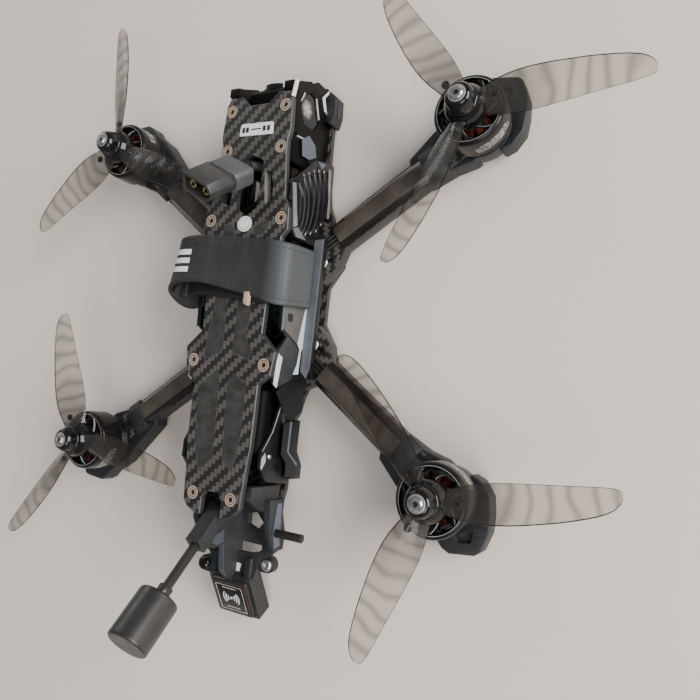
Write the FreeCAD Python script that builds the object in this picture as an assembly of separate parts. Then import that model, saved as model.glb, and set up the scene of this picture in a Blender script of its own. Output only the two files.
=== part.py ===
import math
import os

import FreeCAD, Part

# Racing quadcopter, millimetres. Z is up, the nose points along -Y and the drone's left side is +X.
# The origin lies on the ground plane, midway between the four motor axes.

V = FreeCAD.Vector
UP = V(0, 0, 1)
ACROSS = V(1, 0, 0)

# motor layout
MOTOR_X = 90.2
MOTOR_Y = 72.7
CORNERS = {"fr": (-1, -1), "fl": (1, -1), "rr": (-1, 1), "rl": (1, 1)}

# round feet under each motor guard
FOOT_RADIUS = 3.5
GUARD_FEET = [(100.2, 85.4), (68.5, 59.6)]

# height stack
BOTTOM_Z = 3.0
ARM_Z = 5.5
MID_Z = 11.5
MID_TOP = 13.5
TOP_Z = 35.5
TOP_FACE = 38.0

# bolt pattern through the plates (x, y); the first two pairs run into the camera plates
CAGE_BOLTS = [(14.0, -79.3), (14.0, -61.4)]
POST_BOLTS = [(18.2, -30.8), (18.2, 29.8)]
TAIL_BOLT = (9.8, 84.7)
ARM_BOLT = (24.7, 18.0)
STACK_HALF = 15.25
M3_RADIUS = 1.5
M3_HOLE = 1.6
M3_THREAD = 1.5
HEAD_RADIUS = 2.8
HEAD_DEPTH = 1.8
POST_RADIUS = 2.4

# arms
ARM_START = V(31.0, 29.5, 0)
ARM_HALF_WIDTH = 6.5
PAD_RADIUS = 12.3
MOTOR_BOLT_CIRCLE = 8.0
COVER_LENGTH = 46.5
COVER_HEIGHT = 2.6
WIRE_RADIUS = 0.8
WIRE_PITCH = 1.75

# motors
BASE_TOP = 14.0
CORE_BOTTOM = 15.8
CORE_TOP = 23.3
CORE_RADIUS = 10.6
TEETH = 12
BELL_BOTTOM = 17.0
BELL_TOP = 28.0
BELL_RADIUS = 14.0
BELL_INNER = 11.1
SPOKES = 7
SHAFT_RADIUS = 2.0
SHAFT_BORE = 2.05
THREAD_RADIUS = 2.5
THREAD_BORE = 2.56
SHAFT_TIP = 42.3

# propellers
PROP_RADIUS = 64.8
PROP_PLANE = 31.3
HUB_RADIUS = 8.0
HUB_TOP = 35.0
BLADES = 3
FIRST_TIP_DEG = {"fr": 187.4, "fl": 276.6, "rr": 188.3, "rl": 52.8}
SPIN = {"fr": 1, "fl": -1, "rr": -1, "rl": 1}

# camera
CAMERA_Y = -83.3
CAMERA_Z = 21.3
CAMERA_HALF = 9.5
CAMERA_TILT = 12.0
CAGE_INNER = 12.0
CAGE_OUTER = 16.5
TRUNNION_RADIUS = 3.0
TRUNNION_BORE = 3.05
TRUNNION_REACH = 14.8
LENS_RADIUS = 6.9
LENS_DEPTH = 2.9

# side panels
PANEL_INNER = 20.6
PANEL_OUTER = 22.2

# battery connector and lead
PLUG_FRONT = V(8.0, -36.8, 60.3)
PLUG_BACK = V(3.3, -51.7, 40.9)
PLUG_WIDTH_HINT = V(-0.894, 0.432, -0.119)
PLUG_WIDTH = 16.0
PLUG_THICK = 8.1
PLUG_CORNER = 2.6
PLUG_CAP_LENGTH = 11.0
PIN_PITCH = 7.2
LEAD_RADIUS = 2.2
LEAD_ROUTE = [
    (3.28, -51.77, 40.80),
    (2.1, -55.6, 35.9),
    (-2.4, -56.0, 28.0),
    (-7.4, -52.4, 20.6),
    (-11.6, -44.6, 16.8),
    (-12.2, -30.5, 16.8),
    (-13.0, -20.25, 16.8),
]

# antenna and positioning module
ANTENNA_TILT = 45.0
STALK_RADIUS = 1.95
COLLAR_Y = 118.4
COLLAR_Z = 58.7
GPS_CENTRE = V(0, 130.0, 15.9)
GPS_SLOPE = 31.0
DECK_BOTTOM = 14.5
DECK_TOP = 17.5
POST_COLLAR_RADIUS = 4.6
MOUNT_EARS = [(16.2, 118.2), (-16.2, 112.6)]
EAR_BOTTOM = 12.4
EAR_TOP = 15.6
EAR_RADIUS = 3.5

# battery strap, seen from the rear: x and z of the middle of the band, all the way round
STRAP_FRONT = -21.8
STRAP_BACK = 1.8
STRAP_THICK = 1.4
STRAP_LOOP = [
    (-10, 39.2), (-19, 39.0), (-22.8, 37.3), (-24.4, 33), (-24.6, 22), (-23.0, 18.6),
    (-21.2, 20.6), (-20.6, 30), (-17.5, 33.2), (-6, 33.6), (8, 33.6), (18, 33.5),
    (25, 34.8), (29.8, 38.2), (29.6, 42.2), (24.0, 44.8), (15, 44.2), (6, 41.8),
]


def prism(points, z0, z1):
    wire = Part.makePolygon([V(x, y, z0) for x, y in points + points[:1]])
    return Part.Face(wire).extrude(V(0, 0, z1 - z0))


def side_prism(points, x0, x1):
    wire = Part.makePolygon([V(x0, y, z) for y, z in points + points[:1]])
    return Part.Face(wire).extrude(V(x1 - x0, 0, 0))


def both_sides(half):
    return half + [(-x, y) for x, y in reversed(half)]


def box(x0, x1, y0, y1, z0, z1):
    return Part.makeBox(x1 - x0, y1 - y0, z1 - z0, V(x0, y0, z0))


def rod(x, y, z0, z1, radius):
    return Part.makeCylinder(radius, z1 - z0, V(x, y, z0))


def fuse(shapes):
    joined = shapes[0]
    for shape in shapes[1:]:
        joined = joined.fuse(shape)
    return joined.removeSplitter()


def cut(shape, tools):
    for tool in tools:
        shape = shape.cut(tool)
    return shape


def flip(shape, sx, sy):
    if sx < 0:
        shape = shape.mirror(V(0, 0, 0), V(1, 0, 0))
    if sy < 0:
        shape = shape.mirror(V(0, 0, 0), V(0, 1, 0))
    return shape


def save(name, shapes):
    shape = shapes[0] if len(shapes) == 1 else Part.makeCompound(shapes)
    shape.exportStep("parts/" + name + ".step")
    print(name, round(shape.Volume, 1))


def chamfer_faces(shape, z, size):
    edges = [e for e in shape.Edges
             if abs(e.BoundBox.ZMin - z) < 1e-4 and abs(e.BoundBox.ZMax - z) < 1e-4 and e.Length > 3.0]
    return shape.makeChamfer(size, edges)


def hex_prism(x, y, z0, z1, across):
    radius = across / math.sqrt(3)
    corners = [(x + radius * math.cos(math.radians(60 * i)), y + radius * math.sin(math.radians(60 * i)))
               for i in range(6)]
    return prism(corners, z0, z1)


def mirrored_points(pairs):
    return [(sx * x, y) for x, y in pairs for sx in (-1, 1)]


def plate_bolts():
    return mirrored_points(CAGE_BOLTS + POST_BOLTS + [TAIL_BOLT])


def corner_points(x, y):
    return [(sx * x, sy * y) for sx, sy in CORNERS.values()]


def holes(points, z0, z1, radius):
    return [rod(x, y, z0 - 1, z1 + 1, radius) for x, y in points]


# ---------------------------------------------------------------- plates

def countersinks(points, z_head, z_tip):
    low = min(z_head, z_tip)
    r_low = HEAD_RADIUS if z_head < z_tip else M3_HOLE
    r_high = M3_HOLE if z_head < z_tip else HEAD_RADIUS
    return [Part.makeCone(r_low, r_high, abs(z_tip - z_head), V(x, y, low)) for x, y in points]


def top_plate():
    half = [(0, -81.2), (5.0, -81.2), (9.5, -85.6), (15.4, -85.6), (17.2, -82), (18.0, -68), (17.0, -64),
            (17.2, -58), (19.2, -40), (21.6, -35), (22.2, -26), (19.6, -23), (18.2, -8), (16.0, 3),
            (15.6, 17), (23.2, 24.2), (21.8, 34), (16.6, 38), (16.6, 63), (15.6, 72), (14.6, 88),
            (12.6, 90.5), (7.0, 93.4), (5.0, 92.5), (5.0, 86.0), (3.0, 83.0), (0, 83.0)]
    plate = chamfer_faces(prism(both_sides(half), TOP_Z, TOP_FACE), TOP_FACE, 0.4)
    opening = [(0, -58.8), (6.3, -55.8), (6.3, -48.2), (5.6, -46), (5.6, -36), (0, -32.2)]
    slot = [(7.4, -51.3), (10.8, -51.0), (12.5, -45.0), (12.7, -38.4), (9.3, -37.1), (8.0, -45.0)]
    cuts = [prism(both_sides(opening), TOP_Z - 1, TOP_FACE + 1)]
    for sx in (-1, 1):
        cuts.append(prism([(sx * x, y) for x, y in slot], TOP_Z - 1, TOP_FACE + 1))
    cuts += holes(plate_bolts(), TOP_Z, TOP_FACE, M3_HOLE)
    cuts += countersinks(plate_bolts(), TOP_FACE, TOP_FACE - HEAD_DEPTH)
    return cut(plate, cuts)


def bottom_plate():
    half = [(0, -86), (13, -86), (18, -83), (18.5, -62), (21, -46), (28.5, -27), (31.5, -18), (25, -8),
            (25, 8), (31.5, 18), (28.5, 27), (21, 34.5), (18.2, 41.5), (16.8, 48), (14.2, 53), (14.2, 82),
            (12.5, 90), (0, 90)]
    plate = prism(both_sides(half), BOTTOM_Z, ARM_Z)
    cuts = holes(plate_bolts() + corner_points(*ARM_BOLT), BOTTOM_Z, ARM_Z, M3_HOLE)
    cuts += holes(corner_points(STACK_HALF, STACK_HALF), BOTTOM_Z, ARM_Z, M3_HOLE)
    cuts += countersinks(plate_bolts(), BOTTOM_Z, BOTTOM_Z + HEAD_DEPTH)
    cuts += countersinks(corner_points(STACK_HALF, STACK_HALF), BOTTOM_Z, BOTTOM_Z + HEAD_DEPTH)
    for sy in (-1, 1):
        cuts.append(prism([(-6, sy * 44), (6, sy * 44), (4, sy * 72), (-4, sy * 72)], 2, 7))
    return cut(plate, cuts)


def mid_plate():
    half = [(0, -50), (12, -50), (16, -46), (20.6, -45), (20.6, -38), (20.6, -26), (18, -22), (18, 22),
            (20.6, 26), (20.6, 45), (16, 52), (12, 78), (0, 78)]
    plate = prism(both_sides(half), MID_Z, MID_TOP)
    bolts = mirrored_points(POST_BOLTS) + corner_points(STACK_HALF, STACK_HALF)
    cuts = holes(bolts, MID_Z, MID_TOP, M3_HOLE)
    cuts.append(prism([(-7, 40), (7, 40), (5, 72), (-5, 72)], 10, 15))
    for sx, sy in CORNERS.values():
        cuts.append(flip(arm_bar(0, 18, 4.1, MID_Z - 1, MID_TOP + 1, -16), sx, sy))
    return cut(plate, cuts)


# ---------------------------------------------------------------- arms

def arm_direction():
    line = V(MOTOR_X, MOTOR_Y, 0) - ARM_START
    return line.normalize()


def arm_bar(start, end, half_width, z0, z1, shift=0.0):
    along = arm_direction()
    across = V(-along.y, along.x, 0)
    corners = []
    for distance, side in ((start, -1), (end, -1), (end, 1), (start, 1)):
        p = ARM_START + along * (distance + shift) + across * (side * half_width)
        corners.append((p.x, p.y))
    return prism(corners, z0, z1)


def arm():
    length = (V(MOTOR_X, MOTOR_Y, 0) - ARM_START).Length
    root = prism([(8, 9), (25, 9), (32, 16.5), (34.8, 24.3), (27.2, 34.7), (20, 38), (8, 38)], ARM_Z, MID_Z)
    blade = arm_bar(-3, length, ARM_HALF_WIDTH, ARM_Z, MID_Z)
    pad = rod(MOTOR_X, MOTOR_Y, ARM_Z, MID_Z, PAD_RADIUS)
    shape = fuse([root, blade, pad])
    cuts = [rod(MOTOR_X, MOTOR_Y, ARM_Z - 1, MID_Z + 1, 4.2)]
    cuts += holes(motor_bolts(), ARM_Z, MID_Z, M3_HOLE)
    cuts += holes([ARM_BOLT, (STACK_HALF, STACK_HALF)], ARM_Z, MID_Z, M3_HOLE)
    return cut(shape, cuts)


def motor_bolts():
    return [(MOTOR_X + MOTOR_BOLT_CIRCLE * math.cos(math.radians(a)),
             MOTOR_Y + MOTOR_BOLT_CIRCLE * math.sin(math.radians(a))) for a in (81, 171, 261, 351)]


def placed_arm(sx, sy):
    post_y = POST_BOLTS[0][1] if sy < 0 else POST_BOLTS[1][1]
    return flip(arm(), sx, sy).cut(rod(sx * POST_BOLTS[0][0], post_y, 0, 20, M3_HOLE))


def cover_profile(half_low, half_high, z0, z1):
    return [(-half_low, z0), (half_low, z0), (half_high, z1), (-half_high, z1)]


def along_arm(profile, start, length):
    along = arm_direction()
    across = V(-along.y, along.x, 0)
    base = ARM_START + along * start
    points = [base + across * a + UP * z for a, z in profile]
    wire = Part.makePolygon(points + points[:1])
    return Part.Face(wire).extrude(along * length)


def arm_cover():
    shell = along_arm(cover_profile(6.2, 3.6, MID_Z, MID_Z + COVER_HEIGHT), 0, COVER_LENGTH)
    channel = along_arm(cover_profile(3.7, 3.2, MID_Z, MID_Z + 2 * WIRE_RADIUS + 0.15), 0, COVER_LENGTH)
    return shell.cut(channel)


def motor_guard():
    outline = [(64.5, 51.5), (70, 50.6), (80.5, 56.4), (88.4, 58.9), (91.8, 61.6), (97.0, 64.6),
               (99.6, 62.8), (103.4, 64.6), (107.2, 70.0), (108.0, 76.7), (107.8, 83.6), (105.2, 90.6),
               (102.9, 92.2), (93.1, 93.2), (90.0, 91.6), (87, 88.0), (78.2, 82.2), (71.3, 74.2),
               (60.5, 62.0), (61.2, 56.2)]
    body = prism(outline, ARM_Z - 2, MID_Z - 0.3)
    body = chamfer_faces(body, MID_Z - 0.3, 0.5)
    saddle = along_arm(cover_profile(7.6, 3.6, MID_Z, MID_Z + COVER_HEIGHT), COVER_LENGTH, 8.0)
    trench = along_arm(cover_profile(3.7, 3.2, MID_Z, MID_Z + 2 * WIRE_RADIUS + 0.15), COVER_LENGTH - 1, 10.0)
    skirt = along_arm([(-7.6, MID_Z - 1), (7.6, MID_Z - 1), (7.6, MID_Z), (-7.6, MID_Z)], COVER_LENGTH, 8.0)
    feet = [rod(x, y, 0, ARM_Z - 2, FOOT_RADIUS) for x, y in GUARD_FEET]
    shape = fuse([body, saddle, skirt] + feet)
    pocket = rod(MOTOR_X, MOTOR_Y, ARM_Z - 3, MID_TOP + 6, PAD_RADIUS)
    recess = prism([(94.5, 85.6), (102.0, 83.5), (101.4, 87.8), (96.2, 88.6)], MID_Z - 1.8, MID_Z)
    return cut(shape, [pocket, recess, trench, arm()])


def motor_wires():
    inner = -13.0
    wires = []
    for lane in (-1, 0, 1):
        centre = MID_Z + WIRE_RADIUS
        start = arm_direction() * inner + ARM_START
        across = V(-arm_direction().y, arm_direction().x, 0) * (lane * WIRE_PITCH)
        start = start + across + UP * centre
        length = (V(MOTOR_X, MOTOR_Y, 0) - ARM_START).Length - inner - PAD_RADIUS - 0.2
        wires.append(Part.makeCylinder(WIRE_RADIUS, length, start, arm_direction()))
    return wires


# ---------------------------------------------------------------- motors

def wheel_points(radius, count, index):
    angle = math.radians(360.0 * index / count)
    return V(radius * math.cos(angle), radius * math.sin(angle), 0)


def stator():
    base = Part.makeCone(PAD_RADIUS - 0.1, 11.2, BASE_TOP - MID_Z, V(0, 0, MID_Z))
    tube = rod(0, 0, MID_Z, CORE_TOP + 0.6, 4.4)
    core = rod(0, 0, CORE_BOTTOM, CORE_TOP, 6.2)
    shoe_ring = rod(0, 0, CORE_BOTTOM, CORE_TOP, CORE_RADIUS).cut(rod(0, 0, 15, 24, CORE_RADIUS - 0.9))
    parts = [base, tube, core, shoe_ring]
    gaps = []
    for i in range(TEETH):
        tooth = box(5, CORE_RADIUS - 0.5, -0.7, 0.7, CORE_BOTTOM, CORE_TOP)
        tooth.rotate(V(0, 0, 0), UP, 360.0 * i / TEETH)
        parts.append(tooth)
        gap = box(CORE_RADIUS - 1.2, CORE_RADIUS + 1, -0.5, 0.5, CORE_BOTTOM - 0.5, CORE_TOP + 0.5)
        gap.rotate(V(0, 0, 0), UP, 360.0 * (i + 0.5) / TEETH)
        gaps.append(gap)
    shape = cut(fuse(parts), gaps + [rod(0, 0, MID_Z - 1, 30, SHAFT_BORE)])
    threads = []
    for a in (81, 171, 261, 351):
        x = MOTOR_BOLT_CIRCLE * math.cos(math.radians(a))
        y = MOTOR_BOLT_CIRCLE * math.sin(math.radians(a))
        threads.append(rod(x, y, MID_Z - 1, BASE_TOP + 1, M3_THREAD))
    return cut(shape, threads)


def coil(index):
    body = box(6.35, 9.5, -1.55, 1.55, CORE_BOTTOM - 0.9, CORE_TOP + 0.9)
    body = body.makeFillet(0.5, [e for e in body.Edges if abs(e.BoundBox.XLength) > 3])
    tooth = box(6, 10, -0.7, 0.7, CORE_BOTTOM, CORE_TOP)
    shape = body.cut(tooth)
    shape.rotate(V(0, 0, 0), UP, 360.0 * index / TEETH)
    return shape


def bell():
    outer = rod(0, 0, BELL_BOTTOM, BELL_TOP, BELL_RADIUS)
    top_edge = [e for e in outer.Edges if abs(e.BoundBox.ZMin - BELL_TOP) < 1e-4 and e.Length > 10]
    outer = outer.makeFillet(1.6, top_edge)
    cavity = rod(0, 0, BELL_BOTTOM - 1, 25.3, BELL_INNER)
    shape = outer.cut(cavity)
    windows = []
    for i in range(SPOKES):
        sector = rod(0, 0, 25.0, BELL_TOP + 1, 12.4).cut(rod(0, 0, 24.0, BELL_TOP + 2, 6.6))
        start = math.radians(360.0 * i / SPOKES + 8)
        stop = math.radians(360.0 * (i + 1) / SPOKES - 8)
        wedge = [(0, 0), (30 * math.cos(start), 30 * math.sin(start)),
                 (30 * math.cos(stop), 30 * math.sin(stop))]
        windows.append(sector.common(prism(wedge, 24.5, BELL_TOP + 1)))
    shape = cut(shape, windows)
    shaft = rod(0, 0, MID_Z + 0.5, 25.6, SHAFT_RADIUS)
    thread = rod(0, 0, 25.2, SHAFT_TIP, THREAD_RADIUS)
    thread = thread.makeChamfer(0.5, [e for e in thread.Edges if abs(e.BoundBox.ZMin - SHAFT_TIP) < 1e-4])
    shape = fuse([shape, shaft, thread])
    return shape.cut(hex_prism(0, 0, SHAFT_TIP - 3, SHAFT_TIP + 1, 2.0))


def placed_motor(shape, corner, turn=0.0):
    sx, sy = CORNERS[corner]
    moved = shape.copy()
    moved.rotate(V(0, 0, 0), UP, turn)
    moved.translate(V(sx * MOTOR_X, sy * MOTOR_Y, 0))
    return moved


# ---------------------------------------------------------------- propellers

def blade_section(radius, chord, twist_deg, thickness, sweep, spin):
    """One closed airfoil loop at the given radius, leading edge up and towards the spin."""
    twist = math.radians(twist_deg)
    outline = [(-0.5, 0.0), (-0.42, 0.30), (-0.2, 0.52), (0.1, 0.50), (0.35, 0.28), (0.5, 0.0),
               (0.35, -0.18), (0.1, -0.28), (-0.2, -0.30), (-0.42, -0.20)]
    points = []
    for along, up in outline:
        c = along * chord * -1 + sweep
        h = up * thickness + 0.9 * (0.25 - along * along) * thickness
        y = c * math.cos(twist) - h * math.sin(twist)
        z = c * math.sin(twist) + h * math.cos(twist)
        points.append(V(radius, spin * y, PROP_PLANE + z))
    curve = Part.BSplineCurve()
    curve.interpolate(points, PeriodicFlag=True)
    return Part.Wire([curve.toShape()])


def blade(spin):
    stations = [(5.2, 8.6, 27, 2.4, 0.0), (10, 10.6, 26, 2.2, 0.1), (16, 13.2, 25, 1.9, 0.3),
                (24, 14.4, 22, 1.6, 0.4), (34, 13.8, 18, 1.4, 0.3), (44, 12.2, 15, 1.2, 0.0),
                (53, 10.2, 12.5, 1.0, -0.6), (59.5, 8.0, 11, 0.9, -1.3), (63.2, 5.0, 10, 0.8, -2.2),
                (PROP_RADIUS, 1.6, 10, 0.6, -2.9)]
    wires = [blade_section(r, chord, twist, thick, sweep, spin) for r, chord, twist, thick, sweep in stations]
    return Part.makeLoft(wires, True, False)


def propeller(corner):
    hub = rod(0, 0, BELL_TOP, HUB_TOP, HUB_RADIUS)
    hub = hub.makeFillet(1.0, [e for e in hub.Edges
                               if abs(e.BoundBox.ZMin - HUB_TOP) < 1e-4 and e.Length > 10])
    shape = hub
    for i in range(BLADES):
        one = blade(SPIN[corner])
        one.rotate(V(0, 0, 0), UP, 360.0 * i / BLADES)
        shape = shape.fuse(one)
    shape = shape.cut(rod(0, 0, BELL_TOP - 1, HUB_TOP + 1, THREAD_BORE))
    return placed_motor(shape, corner, FIRST_TIP_DEG[corner])


def prop_nut():
    """Flanged dome nut, turned from one outline of radius and height."""
    outline = [(THREAD_BORE, HUB_TOP), (6.2, HUB_TOP), (6.2, 36.2), (5.8, 36.6), (5.6, 38.4), (5.1, 39.8),
               (4.2, 41.0), (3.4, 41.4), (THREAD_BORE, 41.4)]
    wire = Part.makePolygon([V(r, 0, z) for r, z in outline + outline[:1]])
    return Part.Face(wire).revolve(V(0, 0, 0), UP, 360)


# ---------------------------------------------------------------- fasteners

def countersunk_screw(x, y, z_head, z_tip):
    """Head face at z_head, thread end at z_tip, hex socket in the head."""
    step = 1 if z_tip > z_head else -1
    axis = V(0, 0, step)
    face = V(x, y, z_head)
    head = Part.makeCone(HEAD_RADIUS - 0.03, M3_RADIUS - 0.03, HEAD_DEPTH, face, axis)
    shank = Part.makeCylinder(M3_RADIUS - 0.03, abs(z_tip - z_head), face, axis)
    socket = hex_prism(x, y, z_head - 1.3, z_head + 1.3, 2.0)
    return head.fuse(shank).removeSplitter().cut(socket)


def top_screws():
    return [countersunk_screw(x, y, TOP_FACE, TOP_FACE - 8) for x, y in plate_bolts()]


def bottom_screws():
    long_tip = MID_TOP + 6
    short_tip = ARM_Z + 6
    screws = [countersunk_screw(x, y, BOTTOM_Z, long_tip) for x, y in mirrored_points(POST_BOLTS)]
    short_places = mirrored_points(CAGE_BOLTS + [TAIL_BOLT])
    screws += [countersunk_screw(x, y, BOTTOM_Z, short_tip) for x, y in short_places]
    return screws


def arm_screws():
    screws = []
    for x, y in corner_points(*ARM_BOLT):
        head = rod(x, y, MID_Z, MID_Z + 2.0, 2.9)
        head = head.makeFillet(0.8, [e for e in head.Edges if abs(e.BoundBox.ZMin - MID_Z - 2.0) < 1e-4
                                     and e.Length > 10])
        shank = rod(x, y, BOTTOM_Z + 0.2, MID_Z, M3_RADIUS - 0.03)
        screws.append(head.fuse(shank).removeSplitter().cut(hex_prism(x, y, MID_Z + 0.8, MID_Z + 3, 2.0)))
    return screws


def motor_screws():
    screws = []
    for sx, sy in CORNERS.values():
        for x, y in motor_bolts():
            head = rod(x, y, ARM_Z - 2.0, ARM_Z, 2.7)
            shank = rod(x, y, ARM_Z, BASE_TOP - 0.6, M3_THREAD - 0.03)
            screw = head.fuse(shank).removeSplitter().cut(hex_prism(x, y, 2, ARM_Z - 1.0, 2.0))
            screws.append(flip(screw, sx, sy))
    return screws


def standoffs():
    posts = []
    for x, y in mirrored_points(POST_BOLTS):
        posts.append(rod(x, y, MID_TOP, TOP_Z, POST_RADIUS).cut(rod(x, y, MID_TOP - 1, TOP_Z + 1, M3_THREAD)))
    for x, y in mirrored_points([TAIL_BOLT]):
        posts.append(rod(x, y, ARM_Z, TOP_Z, POST_RADIUS).cut(rod(x, y, ARM_Z - 1, TOP_Z + 1, M3_THREAD)))
    return posts


# ---------------------------------------------------------------- nose cage and camera

def camera_plate():
    outline = [(-57.5, ARM_Z), (-87, ARM_Z), (-87.3, 12), (-92.4, 14.8), (-98.6, 9.8), (-97.8, 13),
               (-97.9, 19), (-95.1, 23.2), (-95.6, 24.3), (-91, 34.7), (-90, 37.8), (-86.3, 37.8),
               (-86.0, TOP_Z), (-57.5, TOP_Z)]
    plate = side_prism(outline, CAGE_INNER, CAGE_OUTER)
    bore = Part.makeCylinder(TRUNNION_BORE, TRUNNION_REACH + 0.2 - CAGE_INNER + 1,
                             V(CAGE_INNER - 1, CAMERA_Y, CAMERA_Z), ACROSS)
    octagon = [(-90.6, 24), (-86.6, 30), (-80, 30), (-75.2, 26), (-75.6, 18.4), (-80.4, 15.2), (-86, 15.2),
               (-90, 19)]
    recess = side_prism(octagon, CAGE_OUTER - 0.9, CAGE_OUTER + 1)
    step = side_prism([(-69, 36), (-69.6, 28), (-71.6, 19.6), (-65.7, 18.7), (-63.3, 20.9), (-56, 20.9),
                       (-56, 36)], CAGE_OUTER - 0.9, CAGE_OUTER + 1)
    threads = holes(CAGE_BOLTS, ARM_Z, ARM_Z + 8, M3_THREAD) + holes(CAGE_BOLTS, TOP_Z - 7, TOP_Z, M3_THREAD)
    return cut(plate, [bore, recess, step] + threads)


def front_bumper():
    outer = [(0, -99.5), (15.5, -99.5), (20.4, -95.4), (20.8, -87.2), (19.6, -82.5), (18.3, -82.5),
             (18.0, -83.2), (13.2, -86.3), (0, -86.3)]
    shape = prism(both_sides(outer), BOTTOM_Z - 0.6, ARM_Z + 4.6)
    inner = prism(both_sides([(0, -96), (11.7, -96), (11.7, -80), (0, -80)]), ARM_Z - 0.4, 15)
    shape = shape.cut(inner)
    groove = side_prism([(-99, 7.1), (-82, 7.1), (-82, 7.9), (-99, 7.9)], 20.2, 22)
    shape = cut(shape, [groove, flip(groove, -1, 1)])
    plate = camera_plate()
    return cut(shape, [plate, flip(plate, -1, 1), side_prism([(-100, 5.4), (-80, 5.4), (-80, 20), (-100, 20)],
                                                             CAGE_INNER, CAGE_OUTER)])


def aimed(shape):
    """Tip a camera piece drawn level up to the angle it is clamped at."""
    shape.rotate(V(0, CAMERA_Y, CAMERA_Z), ACROSS, -CAMERA_TILT)
    return shape


def camera_body():
    half = CAMERA_HALF
    face = CAMERA_Y - half - LENS_DEPTH + 2.0
    shell = Part.makeBox(2 * half, 2 * half, 2 * half, V(-half, CAMERA_Y - half, CAMERA_Z - half))
    long_edges = [e for e in shell.Edges if e.BoundBox.XLength > half]
    shell = shell.makeChamfer(1.6, long_edges)
    trunnion = Part.makeCylinder(TRUNNION_RADIUS, 2 * TRUNNION_REACH, V(-TRUNNION_REACH, CAMERA_Y, CAMERA_Z),
                                 ACROSS)
    seat = Part.makeCylinder(7.9, half, V(0, face, CAMERA_Z), V(0, 1, 0))
    bore = Part.makeCylinder(LENS_RADIUS - 0.9, 6.0, V(0, face - 1, CAMERA_Z), V(0, 1, 0))
    return aimed(fuse([shell, trunnion, seat]).cut(bore))


def camera_lens():
    face = V(0, CAMERA_Y - CAMERA_HALF - LENS_DEPTH + 2.0, CAMERA_Z)
    barrel = Part.makeCylinder(LENS_RADIUS - 0.9, 5.0, face, V(0, 1, 0))
    hood = Part.makeCylinder(LENS_RADIUS, 2.0, face, V(0, -1, 0))
    glass = Part.makeSphere(9.0, face + V(0, 6.6, 0))
    glass = glass.common(Part.makeCylinder(LENS_RADIUS - 1.0, 4.0, face + V(0, -1.0, 0), V(0, -1, 0)))
    return aimed(fuse([barrel, hood, glass]))


# ---------------------------------------------------------------- side panels

def front_panel():
    outline = [(-63.8, 9.5), (-60.5, 22), (-47.4, 37.2), (-38.6, 37.8), (-37.2, 35.3), (-27.5, 35.3),
               (-24.4, 32.5), (-24.2, 17.5), (-29, 12.4), (-38.3, 11.9), (-38.6, 7.4), (-42, 6.2),
               (-62.8, 7.2)]
    panel = side_prism(outline, PANEL_INNER, PANEL_OUTER)
    slots = []
    for low, high, y0, y1 in ((11.0, 12.4, -59, -35), (14.6, 16.2, -59, -31), (18.4, 20.2, -58, -28),
                              (22.8, 24.6, -53, -27)):
        slot = [(y0, low + 1.2), (0.5 * (y0 + y1), low - 0.6), (y1, low + 1.6), (y1, high + 1.6),
                (0.5 * (y0 + y1), high - 0.4), (y0, high + 1.2)]
        slots.append(side_prism(slot, PANEL_INNER - 1, PANEL_OUTER + 1))
    ledge = box(18.4, PANEL_INNER, -46.5, -36.5, TOP_Z - 2.2, TOP_Z)
    return cut(fuse([panel, ledge]), slots)


def rear_panel():
    outline = [(2.5, 13.7), (2.5, 35.2), (14.4, 34.0), (17.2, 29.6), (23.4, 35.2), (36.6, 35.2),
               (39.5, 27.2), (45.5, 26.2), (52.5, 23.6), (50.8, 17.0), (47.2, 11.8), (38.9, 11.8), (33, 11.8),
               (29, 13.7)]
    panel = side_prism(outline, PANEL_INNER, PANEL_OUTER)
    port = box(PANEL_INNER - 1, PANEL_OUTER + 1, 7.5, 10.5, 26.4, 29.4)
    backing = side_prism([(42.5, 13.7), (42.5, 25), (56.3, 29.6), (64, 35.3), (71, 35.3), (76.5, 30),
                          (78, 13.7)], 19.0, PANEL_INNER)
    bar = side_prism([(-27.5, 13.7), (-27.5, 16.8), (28.5, 16.8), (33.2, 14.0), (33.2, 12.5), (29, 13.7)],
                     24.9, 27.0)
    steps = [box(PANEL_INNER, 27.0, y, y + 4.0, 13.7, 16.8) for y in (4.0, 24.5)]
    bracket = side_prism([(50.8, 14), (52.6, 22.2), (65, 21.8), (70, 16.6), (75.5, 17.6), (75.7, 9.2),
                          (70, 9.2), (63.8, 14.0)], PANEL_INNER, PANEL_OUTER + 1.4)
    return fuse([panel, backing, bar, bracket] + steps).cut(port)


# ---------------------------------------------------------------- tail

def tilted(shape, centre, slope):
    shape.rotate(V(0, 0, 0), ACROSS, slope)
    shape.translate(centre)
    return shape


def antenna_frame(shape):
    """Turn a shape drawn along +Z so that it runs along the aerial and starts at the collar."""
    shape.rotate(V(0, 0, 0), ACROSS, ANTENNA_TILT - 90)
    shape.translate(V(0, COLLAR_Y, COLLAR_Z))
    return shape


def antenna_stalk():
    stalk = rod(0, 0, -45, 0.5, STALK_RADIUS)
    collar = rod(0, 0, -1.4, 1.6, 2.9)
    neck = rod(0, 0, 1.0, 3.0, 2.3)
    return antenna_frame(fuse([stalk, collar, neck]))


def antenna_head():
    head = rod(0, 0, 3.0, 22.8, 8.2)
    rims = [e for e in head.Edges if e.Length > 40 and e.BoundBox.ZLength < 1]
    return antenna_frame(head.makeFillet(0.9, rims))


def gps_module():
    module = box(-9.2, 9.2, -9.2, 9.2, -6.2, -0.5)
    module = module.makeFillet(1.6, [e for e in module.Edges if e.BoundBox.ZLength > 5])
    return tilted(module, GPS_CENTRE, -GPS_SLOPE)


def gps_label():
    label = box(-7.9, 7.9, -7.6, 7.6, -0.5, 0)
    label = label.makeFillet(1.2, [e for e in label.Edges if e.BoundBox.ZLength > 0.4])
    return tilted(label, GPS_CENTRE, -GPS_SLOPE)


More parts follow.
